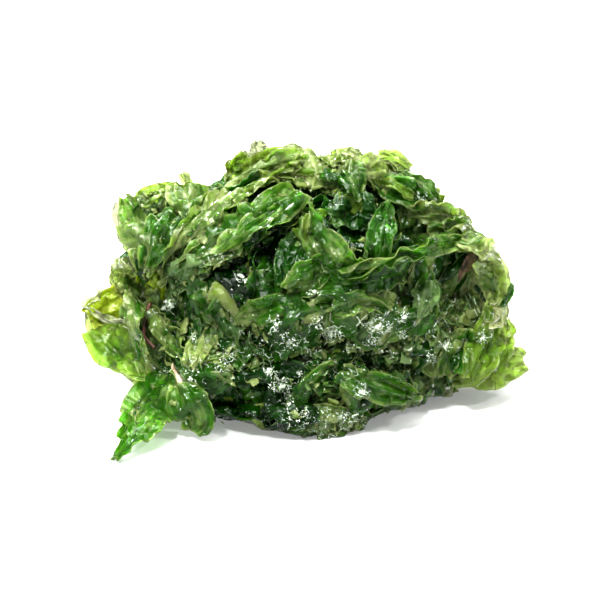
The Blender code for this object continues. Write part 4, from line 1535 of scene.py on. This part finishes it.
@dataclass
class TuckedBlades:
    """Smaller blades tucked in between the main ones, all round the clump.

    source is the place that they hang from. lengths and widths are half of a blade's. sunk is how far
    it lies outside the form, raised is added to that low at the back, and tilt leans it.
    """

    form: PileForm
    hollows: Hollows
    finishes: dict
    count: int = 400
    source: tuple = (20.0, 6.0, 72.0)
    lengths: tuple = (6, 14)
    widths: tuple = (2.6, 6)
    sunk: tuple = (-4.0, -1.2)
    raised: tuple = (1.5, 5.0)
    tilt: float = 1.6
    deep_share: float = 0.4
    pale_from: float = 0.93
    sheets: list = field(default_factory=list)

    def build(self) -> None:
        """Scatters the blades over the form, crumples them, and makes an object of each finish."""
        random = np.random.default_rng(SEED + 11)
        homes, facings, chances = [], [], []
        for i in range(self.count):
            points, rays = self.home(i, random)
            homes.append(points)
            facings.append(rays)
            chances.append(random.uniform(0, 1))
        laid = Crumpling((0.8, 0.3, 0.07)).run(SheetBatch(
            home=self.hollows.sink(np.array(homes)),
            facing=np.array(facings),
            slack=draws(random, self.count, (1.04, 1.15), (1.1, 1.5), (0.0, 0.3)),
            depth=draws(random, self.count, (-2.6, -1.2), (0.8, 2.4)),
            drift=2.0,
            pleats=random.uniform(0, 1, self.count),
            seed=SEED + 12,
        ))
        done = []
        for points, chance in zip(laid, chances):
            finish = D if chance < self.deep_share else L if chance < self.pale_from else P
            points = self.form.held(points, 3.0)
            sheet = Sheet(points, PAINTED_LIGHT_SHADE_AND_TONE.shifted(0.3 + 0.4 * random.uniform(), points))
            sheet.frayed(random, 0.5)
            self.sheets.append(sheet)
            done.append((finish, sheet))
        lay("tucked_fronds", done, self.finishes)

    def home(self, i: int, random: Random) -> Pair:
        """Where a blade's corners would lie if it fitted, and the side that they face.

        Args:
            i: the blade's number, counted from the floor upwards.
            random: the source of chance.

        Returns:
            Points and unit directions, each by row and column.
        """
        u, v = ragged(TUCKED.rows, TUCKED.columns, random, 0.2)
        u = 2 * u - 1
        turn = i * math.pi * (3 - math.sqrt(5)) + random.normal(0, 0.1)
        height = np.clip(0.03 + 0.94 * (i + 0.5) / self.count + random.normal(0, 0.03), 0.03, 0.99)
        ray = outward_ray(turn, height)
        centre = HEART + ray * self.form.reach(ray[None])[0]
        side = unit(np.cross(ray, centre - np.array(self.source)))
        other = np.cross(side, ray)
        spin = random.normal(0, 0.35 if centre[2] > 34 else 0.9)
        run = math.sin(spin) * side + math.cos(spin) * other
        span = np.cross(ray, run)
        length, width = random.uniform(*self.lengths), random.uniform(*self.widths)
        outline = np.clip(1.1 - u * u, 0.05, 1) ** random.uniform(0.3, 0.8)
        flatwise = centre + (u * length)[..., None] * run + (v * width * outline)[..., None] * span
        rays = unit(flatwise - HEART)
        rays[..., 2] = np.maximum(rays[..., 2], 0.02)
        tilt = random.uniform(-self.tilt, self.tilt)
        sunk = random.uniform(*self.sunk)
        if ray[1] > 0.4 and ray[2] < 0.6:
            sunk += random.uniform(*self.raised)
        reach = self.form.reach(rays) + sunk + tilt * v
        return HEART + rays * reach[..., None], rays


class Surface:
    """The blades that have been made, as one surface that rays can meet."""

    def __init__(self, sheets: list) -> None:
        """Gathers the sheets' middle surfaces.

        Args:
            sheets: finished sheets.
        """
        points: list[np.ndarray] = []
        quads: list[np.ndarray] = []
        first = 0
        for sheet in sheets:
            rows, columns = sheet.points.shape[:2]
            quads.append(grid_quads(rows, columns) + first)
            points.append(sheet.points.reshape(-1, 3))
            first += rows * columns
        self.tree = BVHTree.FromPolygons(np.concatenate(points).tolist(), np.concatenate(quads).tolist())

    def seen(self, pixels: np.ndarray) -> list[Pair]:
        """The places that the camera sees at some pixels, each with the side that it faces."""
        return self.met([(VIEW.eye(), ray) for ray in VIEW.rays(pixels)])

    def met(self, rays: list[Pair]) -> list[Pair]:
        """Where rays meet the blades.

        Args:
            rays: the start and the direction of each.

        Returns:
            A place and a facing side for each ray that meets something.
        """
        found = []
        for start, ray in rays:
            place, side, _, _ = self.tree.ray_cast(Vector(start), Vector(ray))
            if place is not None:
                side = np.array(side)
                found.append((np.array(place), side if side @ ray < 0 else -side))
        return found


@dataclass(frozen=True)
class Patch:
    """A part of the image, as an oval about a pixel, and how many pieces lie in it."""

    x: float
    y: float
    half_width: float
    half_height: float
    count: int

    def pixels(self, random: Random) -> np.ndarray:
        """Random places in the oval, closer together towards its middle.

        Args:
            random: the source of chance.

        Returns:
            The pixels.
        """
        turn = random.uniform(0, 2 * math.pi, self.count)
        far = random.uniform(0, 1, self.count) ** 0.6
        return np.column_stack([
            self.x + np.cos(turn) * far * self.half_width, self.y + np.sin(turn) * far * self.half_height
        ])


def patches(*rows: tuple) -> tuple:
    """Makes a patch of each row of values."""
    return tuple(Patch(*row) for row in rows)


@dataclass
class ChoppedPieces:
    """The finely chopped pieces of blade, most of them in the lower half of the front."""

    surface: Surface
    form: PileForm
    finishes: dict
    around: int = 340
    small: tuple = (0.9, 2.1)
    large: tuple = (2.1, 4.6)
    small_share: float = 0.75
    thickness: float = 0.12
    patches: tuple = patches(
        (330, 345, 130, 44, 560), (405, 326, 80, 24, 150), (215, 345, 56, 38, 170), (325, 420, 42, 13, 150),
        (465, 318, 34, 28, 70), (228, 258, 30, 18, 50), (335, 165, 92, 11, 190), (300, 215, 140, 46, 300),
        (160, 250, 40, 50, 90), (155, 196, 34, 14, 40), (452, 216, 34, 16, 45), (512, 362, 16, 12, 24),
    )
    sheets: list = field(default_factory=list)

    def places(self, random: Random) -> list[Pair]:
        """Where the pieces lie, with the side that each place faces.

        Args:
            random: the source of chance.

        Returns:
            The places and sides.
        """
        found = []
        for patch in self.patches:
            found += self.surface.seen(patch.pixels(random))
        return found + self.surface.met(inward_rays(random, self.around, 0.6, (0.03, 0.9), 1.3))

    def build(self) -> None:
        """Lays the pieces, crumples them, and makes an object of each finish."""
        random = np.random.default_rng(SEED + 21)
        places = self.places(random)
        grid, count = CHOPPED, len(places)
        u, v = np.meshgrid(np.linspace(0, 1, grid.rows), np.linspace(0, 1, grid.columns), indexing="ij")
        shares = np.stack([(1 - u) * (1 - v), u * (1 - v), u * v, (1 - u) * v], axis=-1)
        homes, facings = [], []
        for place, _ in places:
            out = unit(place - HEART)
            facing = unit(out + random.normal(0, 0.6, 3))
            run = unit(np.cross(facing, random.normal(0, 1, 3)))
            span = np.cross(facing, run)
            turns = np.arange(4) * math.pi / 2 + random.normal(0, 0.3, 4)
            size = random.uniform(*(self.small if random.uniform() < self.small_share else self.large))
            reach = size * random.uniform(0.5, 1.1, 4)
            reach *= np.where(np.arange(4) == random.integers(0, 8), 0.2, 1)
            corners = (np.cos(turns) * reach)[:, None] * run + (np.sin(turns) * reach * 0.7)[:, None] * span
            homes.append(place + out * random.uniform(-0.8, 0.8) + shares @ corners)
            facings.append(np.tile(facing, (grid.rows, grid.columns, 1)))
        batch = SheetBatch(
            home=np.array(homes),
            facing=np.array(facings),
            slack=draws(random, count, (1.05, 1.35), (1.2, 1.8), (0, 0.4)),
            depth=draws(random, count, (-1.5, -0.6), (0.6, 1.5)),
            drift=1.2,
            pleats=random.uniform(0, 1, count),
            seed=SEED + 22,
        )
        crumpled = Crumpling((0.3, 0.06), (0.1,), (120, 20), (0.02, 0.03), (0.0, 1.0, 1.1)).run(batch)
        laid = []
        for points, (place, _) in zip(self.form.held(crumpled, 1.6), places):
            # Pieces high on the crown are more often pale: painted light where the top of the clump is lit.
            chance = random.uniform() - (0.5 if place[2] > 60 else 0.0)
            finish = D if chance > 0.62 else L if chance > 0.08 else P
            sheet = Sheet(points, PAINTED_LIGHT_SHADE_AND_TONE.shifted(random.uniform(0.3, 1.0), points), self.thickness)
            sheet.frayed(random, 0.6)
            self.sheets.append(sheet)
            laid.append((finish, sheet))
        lay("chopped_pieces", laid, self.finishes)


class ScatterTree:
    """Geometry Nodes that set one of some small shapes on every point of a carrier mesh."""

    def __init__(self, name: str) -> None:
        """Builds the tree.

        Args:
            name: the tree's name.
        """
        tree = self.tree = bpy.data.node_groups.new(name, "GeometryNodeTree")
        socket_in(tree, "Geometry", "NodeSocketGeometry")
        socket_in(tree, "Shapes", "NodeSocketCollection")
        socket_in(tree, "Size", "NodeSocketFloat", 1.0)
        socket_in(tree, "Seed", "NodeSocketInt", SEED)
        socket_in(tree, "Finish", "NodeSocketMaterial")
        tree.interface.new_socket("Geometry", in_out="OUTPUT", socket_type="NodeSocketGeometry")
        n = Nodes(tree)
        given = n.add("NodeGroupInput").outputs
        shapes = n.add(
            "GeometryNodeCollectionInfo",
            {"Collection": given["Shapes"], "Separate Children": True, "Reset Children": True},
        )
        turn = n.add("GeometryNodeInputNamedAttribute", {"Name": "turn"}, data_type="FLOAT_VECTOR")
        size = n.add("GeometryNodeInputNamedAttribute", {"Name": "size"}, data_type="FLOAT")
        kind = n.add("FunctionNodeRandomValue", {5: 1000, "Seed": given["Seed"]}, data_type="INT")
        rotation = n.add("FunctionNodeEulerToRotation", {0: turn.outputs[0]})
        scale = n.math("MULTIPLY", size.outputs[0], given["Size"])
        spots = {"Points": given["Geometry"], "Rotation": rotation.outputs[0], "Scale": scale}
        pick = {"Instance": shapes.outputs[0], "Pick Instance": True, "Instance Index": kind.outputs[2]}
        placed = n.add("GeometryNodeInstanceOnPoints", {**spots, **pick})
        real = n.add("GeometryNodeRealizeInstances", {"Geometry": placed.outputs[0]})
        painted = n.add("GeometryNodeSetMaterial", {"Geometry": real.outputs[0], "Material": given["Finish"]})
        n.add("NodeGroupOutput", {"Geometry": painted.outputs[0]})

    def identifier(self, name: str) -> str:
        """The identifier of one of the tree's inputs."""
        items = [item for item in self.tree.interface.items_tree if item.item_type == "SOCKET"]
        return next(item.identifier for item in items if item.in_out == "INPUT" and item.name == name)

    def scatter(
        self,
        name: str,
        spots: list,
        shapes: bpy.types.Collection,
        finish: bpy.types.Material,
        size: float = 1.0,
    ) -> bpy.types.Object:
        """Makes a mesh with one of the shapes on every spot.

        Args:
            name: the object's name.
            spots: place, turn about x, y and z, and size of each shape.
            shapes: the shapes to choose from.
            finish: the material.
            size: a factor on every size.

        Returns:
            The object, as a plain mesh.
        """
        carrier = bpy.data.meshes.new(name + "_carrier")
        carrier.vertices.add(len(spots))
        places, turns, sizes = (np.array(part) for part in zip(*spots))
        carrier.vertices.foreach_set("co", to_row(places).astype(np.float32).ravel())
        give(carrier, "turn", turns)
        give(carrier, "size", sizes)
        holder = linked(name + "_carrier", carrier)
        modifier = holder.modifiers.new("scatter", "NODES")
        modifier.node_group = self.tree
        for key, value in (("Shapes", shapes), ("Size", size), ("Seed", SEED), ("Finish", finish)):
            modifier[self.identifier(key)] = value
        bpy.context.view_layer.update()
        evaluated = holder.evaluated_get(bpy.context.evaluated_depsgraph_get())
        mesh = bpy.data.meshes.new_from_object(evaluated)
        mesh.name = name
        places = np.empty(len(mesh.vertices) * 3, np.float32)
        mesh.vertices.foreach_get("co", places)
        places[2::3] = np.maximum(places[2::3], FLOOR_GAP * MM)
        mesh.vertices.foreach_set("co", places)
        bpy.data.objects.remove(holder)
        return linked(name, mesh)


@dataclass
class Salt:
    """White salt: single grains, and clusters of grains and fine needles."""

    surface: Surface
    clusters: tuple = patches(
        (169, 304, 6, 6, 70), (150, 314, 4, 4, 12), (241, 278, 8, 5, 26), (276, 322, 6, 9, 30),
        (315, 294, 8, 4, 20), (193, 337, 6, 5, 12), (164, 371, 4, 4, 8), (190, 376, 10, 12, 26),
        (225, 360, 22, 12, 34), (269, 371, 5, 5, 14), (281, 385, 12, 8, 110), (270, 372, 4, 4, 24),
        (287, 400, 9, 6, 22), (289, 343, 9, 8, 24), (331, 333, 11, 7, 70), (318, 322, 8, 6, 18),
        (378, 325, 12, 8, 90), (403, 316, 6, 6, 22), (403, 334, 5, 5, 14), (372, 341, 8, 5, 20),
        (362, 390, 9, 7, 46), (355, 417, 12, 7, 46), (324, 436, 9, 4, 18), (350, 348, 9, 6, 16),
        (432, 358, 7, 6, 16), (446, 345, 8, 7, 26), (482, 339, 6, 6, 22), (423, 195, 6, 4, 12),
        (429, 203, 4, 3, 6), (475, 253, 3, 5, 5), (185, 421, 4, 4, 5), (300, 415, 22, 10, 34),
        (262, 350, 24, 14, 30), (345, 372, 20, 10, 24), (214, 256, 12, 8, 16), (385, 352, 10, 5, 18),
        (430, 357, 6, 8, 14), (305, 358, 7, 7, 14), (301, 376, 5, 7, 12), (341, 416, 8, 5, 14),
        (452, 300, 14, 8, 12), (412, 300, 16, 8, 12), (288, 339, 9, 7, 12),
    )
    strewn: tuple = patches(
        (218, 362, 30, 22, 34), (330, 345, 100, 34, 60), (322, 420, 40, 14, 22), (455, 340, 34, 18, 16),
        (212, 256, 14, 12, 8),
    )
    sprinkled: tuple = patches(
        (310, 340, 165, 85, 210), (330, 240, 150, 70, 60),
    )
    fibres: tuple = (
        ((432, 326), (455, 300)), ((466, 296), (475, 316)), ((470, 294), (478, 313)),
        ((442, 318), (449, 330)), ((355, 313), (365, 326)), ((366, 314), (356, 324)),
        ((288, 408), (289, 428)), ((432, 334), (447, 352)),
    )
    lumps: tuple = (
        (169, 303, 3.4), (164, 309, 2.2), (241, 277, 2.4), (246, 281, 1.6), (315, 293, 2.0), (269, 371, 2.4),
        (282, 386, 2.6), (331, 334, 1.8), (378, 326, 2.4), (403, 317, 2.0), (149, 313, 1.6), (191, 379, 2.0),
        (362, 392, 2.2), (354, 415, 2.2), (289, 406, 1.6), (446, 346, 1.8), (482, 339, 1.8), (276, 325, 1.6),
    )
    elsewhere: int = 320
    grain_share: float = 0.6
    grain_sizes: tuple = (0.3, 1.0)
    needle_sizes: tuple = (0.3, 0.9)
    single_sizes: tuple = (0.2, 0.5)

    def shapes(self) -> tuple[bpy.types.Collection, bpy.types.Collection]:
        """Makes the few grains and needles that are repeated.

        Returns:
            The grains and the needles.
        """
        random = np.random.default_rng(SEED + 31)
        grains, needles = bpy.data.collections.new("grains"), bpy.data.collections.new("needles")
        for i in range(6):
            shape = bmesh.new()
            points = random.normal(0, 1, (11, 3))
            points /= np.linalg.norm(points, axis=1, keepdims=True)
            for point in points * random.uniform(0.35, 0.6, (11, 1)) * random.uniform(0.6, 1.2, 3):
                shape.verts.new(Vector(point * MM))
            hull = bmesh.ops.convex_hull(shape, input=shape.verts)
            loose = {item for item in hull["geom_interior"] if isinstance(item, bmesh.types.BMVert)}
            bmesh.ops.delete(shape, geom=list(loose), context="VERTS")
            self.keep(f"grain_{i}", shape, grains)
        for i in range(5):
            shape = bmesh.new()
            radii = {"radius1": 0.08 * MM, "radius2": 0.05 * MM}
            bmesh.ops.create_cone(shape, cap_ends=True, segments=4, depth=2 * MM, **radii)
            long = [edge for edge in shape.edges if abs(edge.verts[0].co.z - edge.verts[1].co.z) > MM]
            bmesh.ops.subdivide_edges(shape, edges=long, cuts=3)
            bow, lean = random.uniform(0.1, 0.6), random.uniform(0, 2 * math.pi)
            for vertex in shape.verts:
                z = vertex.co.z / MM
                vertex.co.x += bow * z * z * math.cos(lean) * 0.5 * MM
                vertex.co.y += bow * z * math.sin(2 * z + lean) * 0.25 * MM
            self.keep(f"needle_{i}", shape, needles)
        return grains, needles

    @staticmethod
    def keep(name: str, shape: bmesh.types.BMesh, collection: bpy.types.Collection) -> None:
        """Puts a finished shape in a collection that isn't shown.

        Args:
            name: the shape's name.
            shape: the shape.
            collection: where it goes.
        """
        bmesh.ops.recalc_face_normals(shape, faces=shape.faces)
        mesh = bpy.data.meshes.new(name)
        shape.to_mesh(mesh)
        shape.free()
        collection.objects.link(bpy.data.objects.new(name, mesh))

    def finish(self) -> bpy.types.Material:
        """Makes the salt's material: white, a little clear, with sharp glints.

        Returns:
            The material.
        """
        material, n = Nodes.of_material("salt_white")
        place = n.add("ShaderNodeTexCoord").outputs["Object"]
        colour = n.mix(n.noise(place, 900.0, 2.0), (0.56, 0.67, 0.48, 1.0), (0.94, 0.96, 0.91, 1.0))
        body = n.add("ShaderNodeBsdfPrincipled", {"Base Color": colour, "Roughness": 0.25, "IOR": 1.54})
        glow = n.add("ShaderNodeBsdfTranslucent", {"Color": colour})
        n.add("ShaderNodeOutputMaterial", {"Surface": n.blend(0.35, body, glow).outputs[0]})
        return material

    def string(self, start: np.ndarray, random: Random) -> list[tuple]:
        """A crooked string of fine grains that runs over the blades.

        Args:
            start: the pixel where it begins.
            random: the source of chance.

        Returns:
            The spots of its grains.
        """
        count = random.integers(6, 20)
        turn = random.uniform(0, 2 * math.pi) + np.cumsum(random.normal(0, 0.5, count))
        path = start + np.cumsum(np.stack([np.cos(turn), np.sin(turn)], axis=-1) * 0.5, axis=0)
        lift = np.abs(np.cumsum(random.normal(0, 0.12, count))) + 0.1
        size = random.uniform(0.15, 0.33)
        found = self.surface.seen(path)
        return [
            (place + side * height, random.uniform(0, 6, 3), size * random.uniform(0.8, 1.3))
            for (place, side), height in zip(found, lift)
        ]

    def build(self) -> None:
        """Scatters the grains, strings and needles over the blades."""
        random = np.random.default_rng(SEED + 32)
        grains, needles = self.shapes()
        grain_spots, needle_spots = [], []
        for cluster in self.clusters:
            for place, side in self.surface.seen(cluster.pixels(random)):
                turn = random.uniform(0, 2 * math.pi, 3)
                if random.uniform() < self.grain_share:
                    lifted = place + side * random.uniform(0, 0.5)
                    grain_spots.append((lifted, turn, random.uniform(*self.grain_sizes) ** 1.4))
                else:
                    needle_spots.append((place + side * 0.4, turn, random.uniform(*self.needle_sizes)))
            for start in cluster.pixels(random)[: 2 + cluster.count // 7]:
                grain_spots += self.string(start, random)
        for patch in self.strewn:
            for start in patch.pixels(random):
                grain_spots += self.string(start, random)
        for first, last in self.fibres:
            path = np.linspace(first, last, 46) + np.cumsum(random.normal(0, 0.06, (46, 2)), axis=0)
            for place, side in self.surface.seen(path):
                grain_spots.append((place + side * 0.8, random.uniform(0, 6, 3), 0.4))
        for x, y, size in self.lumps:
            for place, side in self.surface.seen(Patch(x, y, size, size, 11).pixels(random)):
                lifted = place + side * (random.uniform(0.1, 0.35) * size)
                grain_spots.append((lifted, random.uniform(0, 6, 3), size * random.uniform(0.25, 0.55)))
        single = []
        for patch in self.sprinkled:
            single += self.surface.seen(patch.pixels(random))
        for place, side in single + self.surface.met(inward_rays(random, self.elsewhere, 0.5, (0.03, 0.95))):
            turn, size = random.uniform(0, 6, 3), random.uniform(*self.single_sizes)
            grain_spots.append((place + side * 0.1, turn, size))
        tree, white = ScatterTree("salt_scatter"), self.finish()
        for kind, spots, shapes in (("grains", grain_spots, grains), ("needles", needle_spots, needles)):
            obj = tree.scatter(f"salt_{kind}", spots, shapes, white)
            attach(obj, BODY)
            log.info("salt %s: %d faces", obj.name, len(obj.data.polygons))


@dataclass(frozen=True)
class Studio:
    """The pale floor, the white surroundings and the soft lamps."""

    ambient: float = 0.42
    overhead: float = 1.4
    floor_white: float = 0.5
    floor_glow: float = 0.3
    gamma: float = 0.8
    lamps: tuple = (
        ("roof_lamp", (-0.15, 0.0, 1.0), 50.0, 6.2), ("key_lamp", (-0.3, -0.5, 0.9), 5.0, 3.8),
        ("side_lamp", (0.7, -0.35, 0.8), 5.0, 1.6), ("back_lamp", (-0.4, 0.7, 0.75), 30.0, 5.2),
    )

    def build(self) -> None:
        """Makes the floor, the world and the lamps."""
        scene = bpy.context.scene
        scene.view_settings.view_transform = "Standard"
        scene.view_settings.gamma = self.gamma
        world = bpy.data.worlds.new("white_room")
        scene.world = world
        world.use_nodes = True
        background = world.node_tree.nodes["Background"]
        background.inputs["Color"].default_value = (1.0, 1.0, 1.0, 1.0)
        n = Nodes(world.node_tree)
        sky = n.add("ShaderNodeTexCoord").outputs["Generated"]
        height = n.add("ShaderNodeSeparateXYZ", {0: sky}).outputs[2]
        rise = n.math("POWER", n.math("MAXIMUM", height, 0.0), 2.0)
        light = n.math("ADD", n.math("MULTIPLY", rise, self.overhead), self.ambient)
        world.node_tree.links.new(light, background.inputs["Strength"])
        shape = bmesh.new()
        bmesh.ops.create_grid(shape, x_segments=1, y_segments=1, size=6.0)
        mesh = bpy.data.meshes.new("floor")
        shape.to_mesh(mesh)
        shape.free()
        floor = linked("floor", mesh)
        paint = bpy.data.materials.new("floor_white")
        paint.use_nodes = True
        shader = paint.node_tree.nodes["Principled BSDF"]
        for key, value in (
            ("Base Color", (*(self.floor_white,) * 3, 1.0)), ("Emission Color", (1.0, 1.0, 1.0, 1.0)),
            ("Emission Strength", self.floor_glow), ("Roughness", 0.9), ("Specular IOR Level", 0.1),
        ):
            shader.inputs[key].default_value = value
        mesh.materials.append(paint)
        for lamp in self.lamps:
            self.hang(*lamp)

    @staticmethod
    def hang(name: str, place: tuple, spread: float, strength: float) -> None:
        """Adds a far lamp.

        Args:
            name: the lamp's name.
            place: the side that it shines from.
            spread: how wide it looks from the clump, in degrees.
            strength: its light on a face that looks at it, in watts a square metre.
        """
        data = bpy.data.lights.new(name, "SUN")
        data.angle, data.energy = math.radians(spread), strength
        obj = linked(name, data)
        obj.rotation_mode = "QUATERNION"
        obj.rotation_quaternion = (-Vector(place)).to_track_quat("-Z", "Y")


def main() -> None:
    """Builds the clump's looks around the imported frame."""
    logging.basicConfig(level=logging.INFO, format="%(name)s: %(message)s")
    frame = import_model()
    VIEW.build()
    Studio().build()
    group = frond_group()
    finishes = {kind: finish.build(kind.value, group) for kind, finish in FROND_FINISHES.items()}
    free = [blade.name for blade in BLADES if blade.facing] + [leaf.node for leaf in LEAVES if leaf.free]
    solids = Solids(frame["nodes"], tuple(free))
    form = PileForm(solids)
    hollows = Hollows()
    PackedCore(frame["nodes"], hollows, finishes).build()
    blades = MainBlades(solids, form, hollows, finishes)
    blades.build()
    blades.build_leaves()
    tucked = TuckedBlades(form, hollows, finishes)
    tucked.build()
    chopped = ChoppedPieces(Surface(blades.sheets + tucked.sheets), form, finishes)
    chopped.build()
    Salt(Surface(blades.sheets + tucked.sheets + chopped.sheets)).build()
    for finish in SCRAP_FINISHES:
        finish.dress(frame["nodes"][finish.node])


if __name__ == "__main__":
    main()
